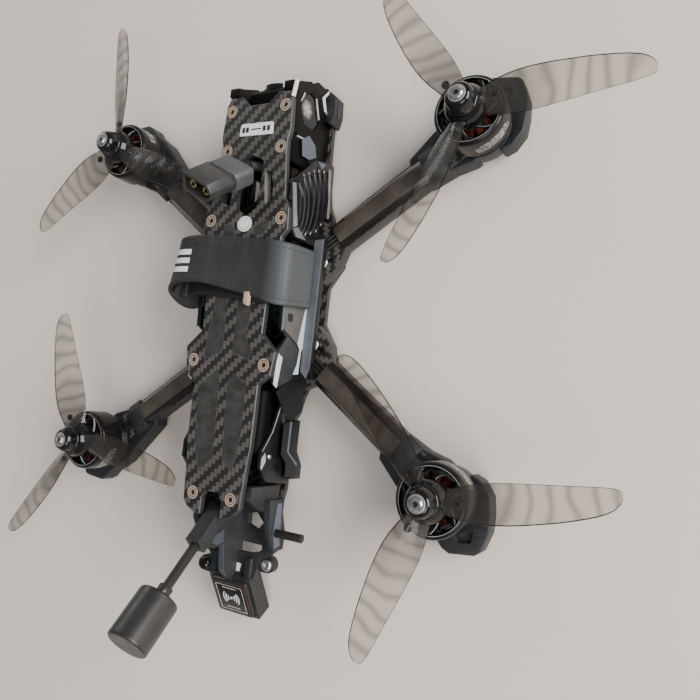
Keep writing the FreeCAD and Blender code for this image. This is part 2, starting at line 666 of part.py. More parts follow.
def ear(x, y):
    inner = math.copysign(8.0, x)
    lug = rod(x, y, EAR_BOTTOM, EAR_TOP, EAR_RADIUS)
    web = box(min(x, inner), max(x, inner), y - EAR_RADIUS, y + EAR_RADIUS, EAR_BOTTOM, EAR_TOP)
    return lug.fuse(web)


def rear_mount():
    """Printed tail bracket: it clips round the two tail posts and holds the aerial and the receiver."""
    tray = box(-10.9, 10.9, -10.9, 10.6, -9.8, -2.0).cut(box(-9.2, 9.2, -9.2, 9.2, -6.2, 0))
    tray = tilted(tray, GPS_CENTRE, -GPS_SLOPE)
    deck = prism(both_sides([(0, 84), (7.0, 84), (14.0, 86.0), (17.4, 88.0), (20.4, 92), (20.4, 105.9),
                             (16.5, 109.5), (12.5, 113.5), (10.9, 121.0), (0, 121.0)]), DECK_BOTTOM, DECK_TOP)
    cheek = side_prism([(84.5, DECK_BOTTOM), (84.5, 25.2), (98.4, 23.0), (105.9, 18.6), (105.9, 11.6),
                        (99.0, 11.0), (90.3, DECK_BOTTOM)], 17.4, 20.4)
    wall = side_prism([(79.0, DECK_BOTTOM), (79.0, 34.8), (84.5, 34.8), (89.0, 27.5), (91.5, DECK_BOTTOM)],
                      13.4, 17.4)
    web = side_prism([(84.0, DECK_BOTTOM), (88.0, 28.0), (93.6, 31.0), (103, 38.5), (106.0, 34.0),
                      (104.5, 27.4), (116.2, 25.6), (121.5, 20.0), (118.0, DECK_BOTTOM)], -1.7, 1.7)
    sleeve = antenna_frame(box(-3.3, 3.3, -3.4, 3.4, -40, -20.5))
    sleeve = sleeve.cut(box(-30, 30, 60, 86.6, 0, 80))
    rib = side_prism([(111, 11), (111, 19.5), (120.5, 19.5), (120.5, 11)], 7.4, 10.2)
    collars = [rod(sx * TAIL_BOLT[0], TAIL_BOLT[1], 11.0, 21.0, POST_COLLAR_RADIUS) for sx in (-1, 1)]
    parts = [deck, web, sleeve, tray] + collars + [ear(x, y) for x, y in MOUNT_EARS]
    for side in (cheek, wall, rib):
        parts += [side, flip(side, -1, 1)]
    low, high = DECK_BOTTOM - 1, DECK_TOP + 1
    front_window = [(5.0, 92.6), (9.4, 91.6), (13.2, 95.4), (10.4, 99.2), (5.0, 97.4)]
    rear_window = [(1.7, 104.6), (13.6, 104.8), (13.8, 106.6), (10.6, 109.0), (1.7, 109.4)]
    windows = []
    for outline in (front_window, rear_window):
        windows += [prism(outline, low, high), flip(prism(outline, low, high), -1, 1)]
    bore = antenna_frame(rod(0, 0, -46, 0, STALK_RADIUS))
    tail_posts = [rod(sx * TAIL_BOLT[0], TAIL_BOLT[1], 0, 40, POST_RADIUS + 0.05) for sx in (-1, 1)]
    stub_hole = Part.makeCylinder(1.8, 12, V(-28, 98.2, 18.6), ACROSS)
    seat = tilted(box(-9.2, 9.2, -9.2, 9.2, -6.2, 14), GPS_CENTRE, -GPS_SLOPE)
    ear_holes = [rod(x, y, 0, 40, M3_RADIUS) for x, y in MOUNT_EARS]
    ear_holes += [rod(x, y, EAR_TOP, 40, EAR_RADIUS - 0.7) for x, y in MOUNT_EARS]
    return cut(fuse(parts), windows + ear_holes + tail_posts + [bore, stub_hole, seat])


def receiver_antenna():
    return Part.makeCylinder(1.75, 16.5, V(-17.0, 98.2, 18.6), V(-1, 0, 0))


def mount_screws():
    screws = []
    for x, y in MOUNT_EARS:
        head = rod(x, y, EAR_TOP, EAR_TOP + 2.0, 2.7)
        head = head.makeFillet(1.1, [e for e in head.Edges if abs(e.BoundBox.ZMin - EAR_TOP - 2.0) < 1e-4
                                     and e.Length > 10])
        shank = rod(x, y, EAR_BOTTOM + 0.5, EAR_TOP, M3_RADIUS - 0.03)
        socket = hex_prism(x, y, EAR_TOP + 1.0, EAR_TOP + 4, 2.0)
        screws.append(head.fuse(shank).removeSplitter().cut(socket))
    return screws


# ---------------------------------------------------------------- electronics

def board(half_x, half_y, z, thickness):
    plate = box(-half_x, half_x, -half_y, half_y, z, z + thickness)
    return cut(plate, holes(corner_points(STACK_HALF, STACK_HALF), z, z + thickness, M3_HOLE))


def esc_board():
    switches = []
    for sx in (-1, 1):
        for i in range(6):
            y = -11.2 + i * 3.9
            switches.append(box(min(sx * 12.6, sx * 7.6), max(sx * 12.6, sx * 7.6), y, y + 3.0, 17.6, 18.7))
    return fuse([board(18.0, 20.0, 16.0, 1.6)] + switches)


def flight_controller():
    chips = [box(-3.6, 3.6, -3.6, 3.6, 24.8, 25.9), box(-11.5, -7.5, 3, 7, 24.8, 25.8),
             box(13.0, 18.0, -4.5, 4.5, 24.8, 27.6), box(6.0, 11.0, 5, 12, 24.8, 25.8)]
    return fuse([board(18.0, 18.0, 23.2, 1.6)] + chips)


def video_transmitter():
    case = box(-6.0, 17.0, 44.0, 74.0, 16.0, 24.0)
    fins = [box(-6.0, 17.0, 45.5 + i * 3.4, 47.2 + i * 3.4, 24.0, 26.5) for i in range(8)]
    feet = [box(x, x + 5, y, y + 5, MID_TOP, 16.0) for x in (7.5, 11.0) for y in (45, 50)]
    return fuse([case] + fins + feet)


def stack_screws():
    screws = []
    for x, y in corner_points(STACK_HALF, STACK_HALF):
        screws.append(countersunk_screw(x, y, BOTTOM_Z, 29.0))
    return screws


def stack_spacers():
    rings = []
    for x, y in corner_points(STACK_HALF, STACK_HALF):
        for z0, z1 in ((MID_TOP, 16.0), (17.6, 23.2), (24.8, 27.2)):
            rings.append(rod(x, y, z0, z1, 2.6).cut(rod(x, y, z0 - 1, z1 + 1, M3_RADIUS)))
    return rings


def capacitor():
    can = Part.makeCylinder(4.6, 26.0, V(-14.0, 39.6, 30.6), V(0, 1, 0))
    can = can.makeFillet(0.8, [e for e in can.Edges if e.Length > 20 and e.BoundBox.YLength < 1])
    legs = [box(-15.4, -15.0, 34.0, 40.0, 30.4, 30.8), box(-13.0, -12.6, 34.0, 40.0, 30.4, 30.8)]
    cradle = box(-16.5, -11.5, 44, 60, MID_TOP, 27.0)
    return fuse([can, cradle] + legs)


# ---------------------------------------------------------------- battery connector and strap

def plug_placement():
    """Local X runs along the width, local Z from the cap towards the open face."""
    axis = (PLUG_FRONT - PLUG_BACK).normalize()
    width = PLUG_WIDTH_HINT - axis * PLUG_WIDTH_HINT.dot(axis)
    width.normalize()
    thick = axis.cross(width)
    rotation = FreeCAD.Rotation(width, thick, axis, "ZXY")
    return FreeCAD.Placement(PLUG_BACK, rotation)


def in_plug(shape):
    shape.Placement = plug_placement().multiply(shape.Placement)
    return shape


def plug_length():
    return (PLUG_FRONT - PLUG_BACK).Length


def plug_outline(inset):
    w = PLUG_WIDTH / 2 - inset
    t = PLUG_THICK / 2 - inset
    return [(-w, -t), (w - PLUG_CORNER, -t), (w, PLUG_CORNER - t), (w, t - PLUG_CORNER), (w - PLUG_CORNER, t),
            (-w, t)]


def connector_housing():
    shell = prism(plug_outline(0), PLUG_CAP_LENGTH, plug_length())
    cavity = prism(plug_outline(1.1), plug_length() - 9.0, plug_length() + 1)
    bores = [rod(sx * PIN_PITCH / 2, 0, PLUG_CAP_LENGTH - 1, plug_length() - 8.0, 1.75) for sx in (-1, 1)]
    return in_plug(cut(shell, [cavity] + bores))


def connector_cap():
    w = PLUG_WIDTH / 2 + 0.25
    t = PLUG_THICK / 2 + 0.25
    cap = box(-w, w, -t, t, 0, PLUG_CAP_LENGTH)
    cap = cap.makeFillet(2.4, [e for e in cap.Edges if e.BoundBox.ZLength > 5])
    cap = cap.makeFillet(1.2, [e for e in cap.Edges if e.BoundBox.ZMax < 1e-3])
    cups = [rod(sx * PIN_PITCH / 2, 0, PLUG_CAP_LENGTH - 4.0, PLUG_CAP_LENGTH + 1, 1.75) for sx in (-1, 1)]
    return in_plug(cut(cap, cups))


def connector_pins():
    pins = []
    for sx in (-1, 1):
        x = sx * PIN_PITCH / 2
        pin = rod(x, 0, PLUG_CAP_LENGTH - 4.0, plug_length() - 1.6, 1.75)
        pin = pin.cut(rod(x, 0, plug_length() - 6, plug_length(), 0.9))
        for turn in (0, 90):
            slit = box(x - 2.5, x + 2.5, -0.2, 0.2, plug_length() - 6, plug_length())
            slit.rotate(V(x, 0, 0), UP, turn + 45)
            pin = pin.cut(slit)
        pins.append(in_plug(pin))
    return pins


def tube_along(route, radius):
    """Straight runs joined by tangent arcs, swept with a round section."""
    points = [V(*p) for p in route]
    edges = []
    start = points[0]
    for before, corner, after in zip(points, points[1:], points[2:]):
        back = (before - corner).normalize()
        ahead = (after - corner).normalize()
        half_turn = (math.pi - back.getAngle(ahead)) / 2
        trim = 0.45 * min((before - corner).Length, (after - corner).Length)
        bend = trim / math.tan(half_turn)
        enter = corner + back * trim
        leave = corner + ahead * trim
        middle_dir = (back + ahead).normalize()
        centre = corner + middle_dir * (bend / math.cos(half_turn))
        middle = centre - middle_dir * bend
        edges.append(Part.makeLine(start, enter))
        edges.append(Part.Arc(enter, middle, leave).toShape())
        print("  bend radius", round(bend, 1), "turn", round(math.degrees(2 * half_turn), 1))
        start = leave
    edges.append(Part.makeLine(start, points[-1]))
    length = sum(e.Length for e in edges)
    path = Part.Wire(edges)
    section = Part.Wire([Part.makeCircle(radius, points[0], points[1] - points[0])])
    tube = path.makePipeShell([section], True, False)
    print("  route length", round(length, 1), "volume ratio",
          round(tube.Volume / (math.pi * radius * radius * length), 3))
    return tube


def closed_curve(points, y):
    curve = Part.BSplineCurve()
    curve.interpolate([V(x, y, z) for x, z in points], PeriodicFlag=True)
    return Part.Wire([curve.toShape()])


def offset_loop(points, distance):
    moved = []
    for before, here, after in zip(points[-1:] + points[:-1], points, points[1:] + points[:1]):
        dx = after[0] - before[0]
        dz = after[1] - before[1]
        size = math.hypot(dx, dz)
        moved.append((here[0] + distance * dz / size, here[1] - distance * dx / size))
    return moved


def battery_strap():
    one = Part.Face(closed_curve(offset_loop(STRAP_LOOP, STRAP_THICK / 2), STRAP_FRONT))
    other = Part.Face(closed_curve(offset_loop(STRAP_LOOP, -STRAP_THICK / 2), STRAP_FRONT))
    reach = V(0, STRAP_BACK - STRAP_FRONT, 0)
    solids = sorted([one.extrude(reach), other.extrude(reach)], key=lambda s: s.Volume)
    return solids[1].cut(solids[0])


def main():
    os.makedirs("parts", exist_ok=True)
    save("bottom_plate", [bottom_plate()])
    save("mid_plate", [mid_plate()])
    save("top_plate", [top_plate()])
    for corner, (sx, sy) in CORNERS.items():
        save("arm_" + corner, [placed_arm(sx, sy)])
    save("arm_covers", [flip(arm_cover(), sx, sy) for sx, sy in CORNERS.values()])
    save("motor_guards", [flip(motor_guard(), sx, sy) for sx, sy in CORNERS.values()])
    save("motor_wires", [flip(wire, sx, sy) for sx, sy in CORNERS.values() for wire in motor_wires()])
    save("standoffs", standoffs())
    save("top_screws", top_screws())
    save("bottom_screws", bottom_screws())
    save("arm_screws", arm_screws())
    save("motor_screws", motor_screws())
    save("camera_plate_left", [camera_plate()])
    save("camera_plate_right", [flip(camera_plate(), -1, 1)])
    save("front_bumper", [front_bumper()])
    save("camera_body", [camera_body()])
    save("camera_lens", [camera_lens()])
    save("front_panel_left", [front_panel()])
    save("front_panel_right", [flip(front_panel(), -1, 1)])
    save("rear_panel_left", [rear_panel()])
    save("rear_panel_right", [flip(rear_panel(), -1, 1)])
    save("rear_mount", [rear_mount()])
    save("mount_screws", mount_screws())
    save("receiver_antenna", [receiver_antenna()])
    save("gps_module", [gps_module()])
    save("gps_label", [gps_label()])
    save("antenna_stalk", [antenna_stalk()])
    save("antenna_head", [antenna_head()])
    save("esc_board", [esc_board()])
    save("flight_controller", [flight_controller()])
    save("video_transmitter", [video_transmitter()])
    save("stack_screws", stack_screws())
    save("stack_spacers", stack_spacers())
    save("capacitor", [capacitor()])
    save("connector_housing", [connector_housing()])
    save("connector_cap", [connector_cap()])
    save("connector_pins", connector_pins())
    save("battery_lead", [tube_along(LEAD_ROUTE, LEAD_RADIUS)])
    save("battery_strap", [battery_strap()])
    save("motor_windings", [placed_motor(coil(i), corner) for corner in CORNERS for i in range(TEETH)])
    for corner in CORNERS:
        sx, sy = CORNERS[corner]
        save("stator_" + corner, [flip(placed_motor(stator(), "rl"), sx, sy)])
        save("bell_" + corner, [placed_motor(bell(), corner)])
        save("propeller_" + corner, [propeller(corner)])
        save("prop_nut_" + corner, [placed_motor(prop_nut(), corner)])


main()
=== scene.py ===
import math
import random

import bmesh
import bpy
from mathutils import Matrix, Vector


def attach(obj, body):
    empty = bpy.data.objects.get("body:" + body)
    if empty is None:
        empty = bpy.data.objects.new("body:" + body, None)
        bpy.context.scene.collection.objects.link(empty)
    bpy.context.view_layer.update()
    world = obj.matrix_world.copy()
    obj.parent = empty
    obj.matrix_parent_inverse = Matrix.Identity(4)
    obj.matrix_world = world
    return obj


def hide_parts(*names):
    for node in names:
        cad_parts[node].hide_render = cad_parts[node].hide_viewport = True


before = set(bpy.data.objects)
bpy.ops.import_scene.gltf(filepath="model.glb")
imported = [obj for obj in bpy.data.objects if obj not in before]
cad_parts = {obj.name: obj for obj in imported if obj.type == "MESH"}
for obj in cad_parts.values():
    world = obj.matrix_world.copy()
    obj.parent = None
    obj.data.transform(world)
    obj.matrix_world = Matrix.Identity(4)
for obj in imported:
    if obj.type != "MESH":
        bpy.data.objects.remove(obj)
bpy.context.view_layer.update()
scene = bpy.context.scene
MM = 0.001
MOTOR_X, MOTOR_Y = 90.2, 72.7
CORNERS = {"fr": (-1, -1), "fl": (1, -1), "rr": (-1, 1), "rl": (1, 1)}
SPIN = {"fr": 1, "fl": -1, "rr": -1, "rl": 1}
# direction of one blade tip of each propeller, in degrees
FIRST_TIP = {"fr": 187.4, "fl": 276.6, "rr": 188.3, "rl": 52.8}
WELD = 1e-6  # points closer than this, in metres, are one point
# heights: faces of the top plate, deck of the tail mount, top of the stators' base, middle of the blades
TOP, UNDER, DECK, SEAM, BLADE_Z = 38.0, 33.4, 17.5, 14.05, 31.3
# side faces, from the middle: front cage, side panels, brackets
CAGE, PANEL, BRACKET = 16.6, 22.1, 23.5
SPOKES, MAGNETS, BLADES = 7, 14, 3

# ---- camera
camera = bpy.data.objects.new("photo_camera", bpy.data.cameras.new("photo_camera"))
scene.collection.objects.link(camera)
camera.data.sensor_width = 36.0
camera.data.lens = 33.94
camera.data.clip_start = 0.005
camera.matrix_world = Matrix(((-0.87877, 0.05772, -0.47375, -0.17367), (-0.10700, -0.99122, 0.07771, 0.04061),
    (-0.46510, 0.11898, 0.87723, 0.25458), (0, 0, 0, 1)))
scene.camera = camera


# ---- shader helpers
class Shader:
    """A principled material with short helpers for procedural nodes; lengths are in millimetres."""

    def __init__(self, name, colour, rough, metal=0.0, **extra):
        self.material = bpy.data.materials.new(name)
        self.material.use_nodes = True
        self.tree = self.material.node_tree
        self.surface = self.tree.nodes["Principled BSDF"]
        self.set("Base Color", (*colour, 1))
        self.set("Roughness", rough)
        self.set("Metallic", metal)
        for key, value in extra.items():
            self.set(key.replace("_", " "), value)
        self.colour = (*colour, 1)
        self.rough = rough

    def feed(self, socket, value):
        if isinstance(value, bpy.types.NodeSocket):
            self.tree.links.new(value, socket)
        else:
            socket.default_value = value

    def set(self, name, value):
        self.feed(self.surface.inputs[name], value)

    def node(self, kind, inputs=(), **settings):
        made = self.tree.nodes.new(kind)
        for key, value in settings.items():
            setattr(made, key, value)
        for index, value in dict(inputs).items():
            self.feed(made.inputs[index], value)
        return made

    def math(self, operation, a, b=0.0, clamp=False):
        return self.node("ShaderNodeMath", {0: a, 1: b}, operation=operation, use_clamp=clamp).outputs[0]

    def mul(self, a, b, clamp=False):
        return self.math("MULTIPLY", a, b, clamp)

    def add(self, a, b, clamp=False):
        return self.math("ADD", a, b, clamp)

    def sub(self, a, b):
        return self.math("SUBTRACT", a, b)

    def sin(self, a):
        return self.math("SINE", a)

    def abs(self, a):
        return self.math("ABSOLUTE", a)

    def from_motor(self, x, y):
        """Distance of each point from the shaft of the motor nearest to it."""
        rx, ry = self.sub(self.abs(x), MOTOR_X), self.sub(self.abs(y), MOTOR_Y)
        return self.math("SQRT", self.add(self.mul(rx, rx), self.mul(ry, ry)))

    def place(self, scale=(1, 1, 1), turn=0.0):
        """Coordinates in millimetres, turned about Z and stretched."""
        raw = self.node("ShaderNodeTexCoord").outputs["Object"]
        return self.node("ShaderNodeMapping", {"Vector": raw, "Rotation": (0, 0, turn),
                "Scale": [s / MM for s in scale]}, vector_type="POINT").outputs[0]

    def split(self, vector):
        return self.node("ShaderNodeSeparateXYZ", {0: vector}).outputs

    def noise(self, size, detail=3.0, scale=(1, 1, 1), turn=0.0):
        return self.node("ShaderNodeTexNoise", {"Vector": self.place(scale, turn), "Scale": 1.0 / size,
                "Detail": detail}).outputs["Fac"]

    def span(self, value, low, high, out_low=0.0, out_high=1.0):
        ends = {0: value, 1: low, 2: high, 3: out_low, 4: out_high}
        return self.node("ShaderNodeMapRange", ends).outputs[0]

    def mix(self, factor, a, b):
        return self.node("ShaderNodeMix", {0: factor, 6: a, 7: b}, data_type="RGBA").outputs[2]

    def bump(self, height, depth, strength=1.0):
        """depth is the real height of the relief, in millimetres."""
        made = self.node("ShaderNodeBump", {"Height": height, "Distance": depth * MM, "Strength": strength})
        self.set("Normal", made.outputs[0])
        return self

    def worn(self, size=1.2, colour_shift=0.25, rough_shift=0.12, relief=0.01, fine=0.25):
        """Faint blotches, uneven gloss and a fine grain, as on any moulded or machined face."""
        blotch = self.noise(size * 6, 4.0)
        grain = self.noise(fine, 2.0)
        dark = tuple(c * (1 - colour_shift) for c in self.colour[:3]) + (1,)
        light = tuple(min(1, c * (1 + colour_shift)) for c in self.colour[:3]) + (1,)
        both = self.add(self.mul(blotch, 0.7), self.mul(grain, 0.3))
        self.set("Base Color", self.mix(self.span(both, 0.35, 0.65), dark, light))
        self.set("Roughness", self.span(both, 0.3, 0.7, max(0.02, self.rough - rough_shift),
                min(1, self.rough + rough_shift)))
        if relief:
            self.bump(grain, relief)
        return self


def carbon(name, turn=0.0, warp=(0.082, 0.077, 0.071), weft=(0.017, 0.0155, 0.014), tow=1.75):
    """Two-by-two twill: the warp runs along the part's length and is painted lighter than the weft, a painted
    sheen; the dips between tows get painted shade.
    """
    s = Shader(name, warp, 0.42)
    x, y, z = s.split(s.place((1 / tow, 1 / tow, 1 / tow), turn))
    step = s.sub(s.math("FLOOR", x), s.math("FLOOR", y))
    phase = s.math("FLOORED_MODULO", step, 4.0)
    over = s.math("LESS_THAN", phase, 1.5)
    across = s.sin(s.mul(s.math("FRACT", x), math.pi))
    along = s.sin(s.mul(s.math("FRACT", y), math.pi))
    fibres_up = s.noise(0.16, 2.0, (1, 0.06, 1), turn)
    fibres_side = s.noise(0.16, 2.0, (0.06, 1, 1), turn)
    height = s.node("ShaderNodeMix", {0: over, 2: along, 3: across}).outputs[0]
    fibre = s.node("ShaderNodeMix", {0: over, 2: fibres_side, 3: fibres_up}).outputs[0]
    # warp and weft are the same fibre: the lighter warp is painted sheen
    weave = s.mix(over, (*weft, 1), (*warp, 1))
    patch = s.noise(14.0, 2.0)
    # darker where the tows dip: painted shade, mixed with fibre streaks and random patches
    shade = s.mul(s.span(fibre, 0.25, 0.75, 0.72, 1.25), s.span(height, 0, 1, 0.7, 1.06))
    shade = s.mul(shade, s.span(patch, 0.3, 0.7, 0.85, 1.15))
    top = s.node("ShaderNodeMix", {0: 1.0, 6: weave, 7: shade}, data_type="RGBA", blend_type="MULTIPLY")
    flat = s.split(s.node("ShaderNodeNewGeometry").outputs["Normal"])[2]
    is_edge = s.math("LESS_THAN", s.abs(flat), 0.9)
    layers = s.sin(s.mul(z, 18.0 * tow))
    edge = s.mix(s.span(layers, -1, 1), (0.016, 0.016, 0.017, 1), (0.045, 0.046, 0.049, 1))
    s.set("Base Color", s.mix(is_edge, top.outputs[2], edge))
    s.set("Roughness", s.span(fibre, 0.2, 0.8, 0.34, 0.5))
    return s.bump(s.mul(height, s.span(fibre, 0, 1, 0.9, 1.1)), 0.02).material


def plain(name, colour, rough, wear, metal=0.0, **extra):
    """One colour with blotches, uneven gloss and grain; wear holds what worn() takes."""
    return Shader(name, colour, rough, metal, **extra).worn(*wear).material


def printed(name, colour, layer=0.2, rough=0.5):
    """A printed elastomer: fine stacked layers, a speckled sheen and a faint mesh on the flats."""
    s = Shader(name, colour, rough)
    x, y, z = s.split(s.place())
    grain = s.noise(0.35, 3.0)
    wavy = s.add(z, s.mul(grain, 0.1))
    lines = s.sin(s.mul(wavy, math.tau / layer))
    mesh = s.mul(s.sin(s.mul(s.add(x, y), math.tau / 0.55)),
                  s.sin(s.mul(s.sub(x, y), math.tau / 0.55)))
    speck = s.span(s.noise(0.5, 4.0), 0.52, 0.68)
    light = tuple(min(1, c * 2.2 + 0.02) for c in colour) + (1,)
    s.set("Base Color", s.mix(s.mul(speck, 0.6), (*colour, 1), light))
    s.set("Roughness", s.span(grain, 0.3, 0.7, rough - 0.14, rough + 0.12))
    relief = s.add(s.mul(lines, 0.5), s.mul(mesh, 0.35))
    return s.bump(s.add(relief, speck), 0.03).material


def metal(name, colour, rough=0.28, grain=0.12):
    """Turned or rolled metal with fine scratches."""
    s = Shader(name, colour, rough, 1.0)
    scratch = s.noise(0.09, 2.0, (1, 0.15, 1))
    blotch = s.noise(2.5, 3.0)
    s.set("Roughness", s.span(s.add(s.mul(scratch, 0.5), s.mul(blotch, 0.5)), 0.3, 0.7, rough - grain / 2,
            rough + grain))
    s.set("Base Color", s.mix(s.span(blotch, 0.35, 0.7), tuple(c * 0.8 for c in colour) + (1,), (*colour, 1)))
    return s.bump(scratch, 0.006).material


def smoke(name):
    """Tinted clear plastic: dark near the root, clearer outwards, with flow streaks and a glossy skin."""
    s = Shader(name, (0.060, 0.056, 0.052), 0.14, Specular_IOR_Level=0.8)
    x, y, _ = s.split(s.place())
    radius = s.from_motor(x, y)
    rings = s.abs(s.sin(s.add(s.mul(radius, 0.42), s.mul(s.noise(20.0, 1.0), 7.0))))
    swirl = s.noise(9.0, 3.0)
    s.set("Roughness", s.span(swirl, 0.3, 0.7, 0.08, 0.22))
    s.bump(s.add(s.noise(1.6, 2.0), s.mul(rings, 1.5)), 0.05)
    tint = s.mix(s.span(rings, 0.05, 0.8), (0.70, 0.68, 0.65, 1), (0.87, 0.85, 0.82, 1))
    clear = s.node("ShaderNodeBsdfTransparent", {0: tint})
    edge = s.node("ShaderNodeLayerWeight", {0: 0.5}).outputs["Facing"]
    rim = s.mul(s.math("POWER", edge, 2.4), 0.8)
    root = s.span(radius, 10.0, 36.0, 0.42, 0.05)
    amount = s.add(s.add(rim, root), s.mul(rings, -0.04), clamp=True)
    blend = s.node("ShaderNodeMixShader", {0: amount, 1: clear.outputs[0], 2: s.surface.outputs[0]})
    s.tree.links.new(blend.outputs[0], s.tree.nodes["Material Output"].inputs[0])
    return s.material


def cover(name):
    """Smoked polished cover: a painted olive reflection over the flat top, near black on the slopes."""
    s = Shader(name, (0.05, 0.044, 0.034), 0.22)
    flat = s.split(s.node("ShaderNodeNewGeometry").outputs["Normal"])[2]
    cloud = s.noise(12.0, 3.0)
    # olive flat tops: painted reflection
    top = s.mix(s.span(cloud, 0.3, 0.7), (0.030, 0.026, 0.020, 1), (0.085, 0.075, 0.057, 1))
    s.set("Base Color", s.mix(s.span(flat, 0.75, 0.97), (0.009, 0.007, 0.006, 1), top))
    s.set("Roughness", s.span(cloud, 0.3, 0.7, 0.16, 0.3))
    return s.bump(s.noise(0.5, 2.0), 0.008).material


def jewel(name):
    """Smoked glass insert with a painted highlight shaped like a soft flower."""
    s = Shader(name, (0.1, 0.1, 0.09), 0.12, 0.2)
    _, y, z = s.split(s.place())
    dy, dz = s.add(y, 83.0), s.sub(z, 24.6)
    radius = s.math("SQRT", s.add(s.mul(dy, dy), s.mul(dz, dz)))
    petals = s.abs(s.sin(s.mul(s.math("ARCTAN2", dz, dy), 3.0)))
    # the bright flower is a painted highlight
    painted_flower_highlight = s.mul(s.span(radius, 4.4, 1.2), s.span(petals, 0.0, 0.9, 0.3, 1.0))
    cloud = s.noise(2.2, 3.0)
    painted_flower_highlight = s.mul(painted_flower_highlight, s.span(cloud, 0.3, 0.6, 0.6, 1.0))
    s.set("Base Color", s.mix(painted_flower_highlight, (0.012, 0.014, 0.017, 1), (0.58, 0.57, 0.52, 1)))
    return s.bump(cloud, 0.1).material


def copper(name):
    """Enamelled wire wound round each tooth: turns lie side by side along the radius of their motor, near
    black between turns as painted shade in the grooves.
    """
    s = Shader(name, (0.42, 0.10, 0.04), 0.28, 0.75)
    x, y, _ = s.split(s.place())
    radius = s.from_motor(x, y)
    turns = s.abs(s.sin(s.mul(radius, math.pi / 0.42)))
    # near black between turns: painted shade in the grooves
    s.set("Base Color", s.mix(turns, (0.035, 0.008, 0.005, 1), (0.20, 0.045, 0.025, 1)))
    return s.bump(turns, 0.12).material


def stator_steel(name):
    """Dark base below, stacked laminations above."""
    s = Shader(name, (0.1, 0.1, 0.1), 0.35, 0.6)
    z = s.split(s.place())[2]
    sheets = s.sin(s.mul(z, math.tau / 0.35))
    steel = s.mix(s.span(sheets, -1, 1), (0.09, 0.085, 0.08, 1), (0.32, 0.31, 0.3, 1))
    s.set("Base Color", s.mix(s.math("GREATER_THAN", z, SEAM), (0.018, 0.018, 0.02, 1), steel))
    return s.bump(s.add(sheets, s.noise(0.3)), 0.02).material


def webbing(name, colour, size=0.55, rough=0.6, depth=0.05):
    """Close-woven tape, seen as rows of small raised stitches."""
    s = Shader(name, colour, rough)
    x, y, z = s.split(s.place())
    rows = s.sin(s.mul(y, math.tau / size))
    cols = s.sin(s.mul(s.add(x, z), math.tau / (size * 1.3)))
    weave = s.mul(rows, cols)
    fuzz = s.noise(0.2, 4.0)
    both = s.add(s.mul(weave, 0.5), fuzz)
    s.set("Base Color", s.mix(s.span(both, 0.1, 0.9), tuple(c * 0.6 for c in colour) + (1,),
            tuple(min(1, c * 1.7) for c in colour) + (1,)))
    return s.bump(both, depth).material


def coated_strap(name):
    """Rubberised strap face: soft sheen, tiny pores and long shallow creases; a blue-grey painted sheen
    towards -x.
    """
    s = Shader(name, (0.024, 0.024, 0.024), 0.5, Specular_IOR_Level=0.4)
    pores = s.noise(0.28, 3.0)
    crease = s.noise(5.0, 3.0, (1, 0.25, 1))
    base = s.mix(s.span(crease, 0.3, 0.7), (0.020, 0.020, 0.020, 1), (0.030, 0.030, 0.030, 1))
    # lighter blue-grey towards -x, where the band turns down: painted sheen
    side = s.span(s.split(s.place())[0], -14.0, -19.0)
    s.set("Base Color", s.mix(side, base, (0.050, 0.056, 0.061, 1)))
    s.set("Roughness", s.span(pores, 0.3, 0.7, 0.44, 0.6))
    return s.bump(s.add(s.mul(pores, 0.3), crease), 0.07).material


def braid(name):
    """Braided sleeve on a cord: strands cross along the cord's own length."""
    s = Shader(name, (0.03, 0.028, 0.027), 0.5)
    u, v, _ = s.split(s.node("ShaderNodeTexCoord").outputs["UV"])
    a = s.sin(s.mul(s.add(s.mul(u, 34.0), s.mul(v, 6.0)), math.tau))
    b = s.sin(s.mul(s.sub(s.mul(u, 34.0), s.mul(v, 6.0)), math.tau))
    both = s.math("MAXIMUM", a, b)
    s.set("Base Color", s.mix(s.span(both, 0, 1), (0.012, 0.011, 0.011, 1), (0.07, 0.066, 0.062, 1)))
    return s.bump(both, 0.15).material


def film(name):
    """Worn pale sticker: a mottled grey print."""
    s = Shader(name, (0.2, 0.19, 0.17), 0.4)
    cells = s.noise(1.1, 3.0)
    s.set("Base Color", s.mix(s.span(cells, 0.42, 0.62), (0.045, 0.042, 0.038, 1), (0.34, 0.33, 0.29, 1)))
    return s.bump(cells, 0.01).material


def board_green(name):
    """Circuit board: thin tracks between cells of solder resist."""
    s = Shader(name, (0.012, 0.022, 0.02), 0.3, Coat_Weight=0.4)
    tracks = s.node("ShaderNodeTexVoronoi", {"Vector": s.place(), "Scale": 0.55}, feature="DISTANCE_TO_EDGE")
    line = s.math("LESS_THAN", tracks.outputs[0], 0.05)
    s.set("Base Color", s.mix(line, (0.012, 0.02, 0.019, 1), (0.03, 0.06, 0.05, 1)))
    return s.bump(line, 0.03).material


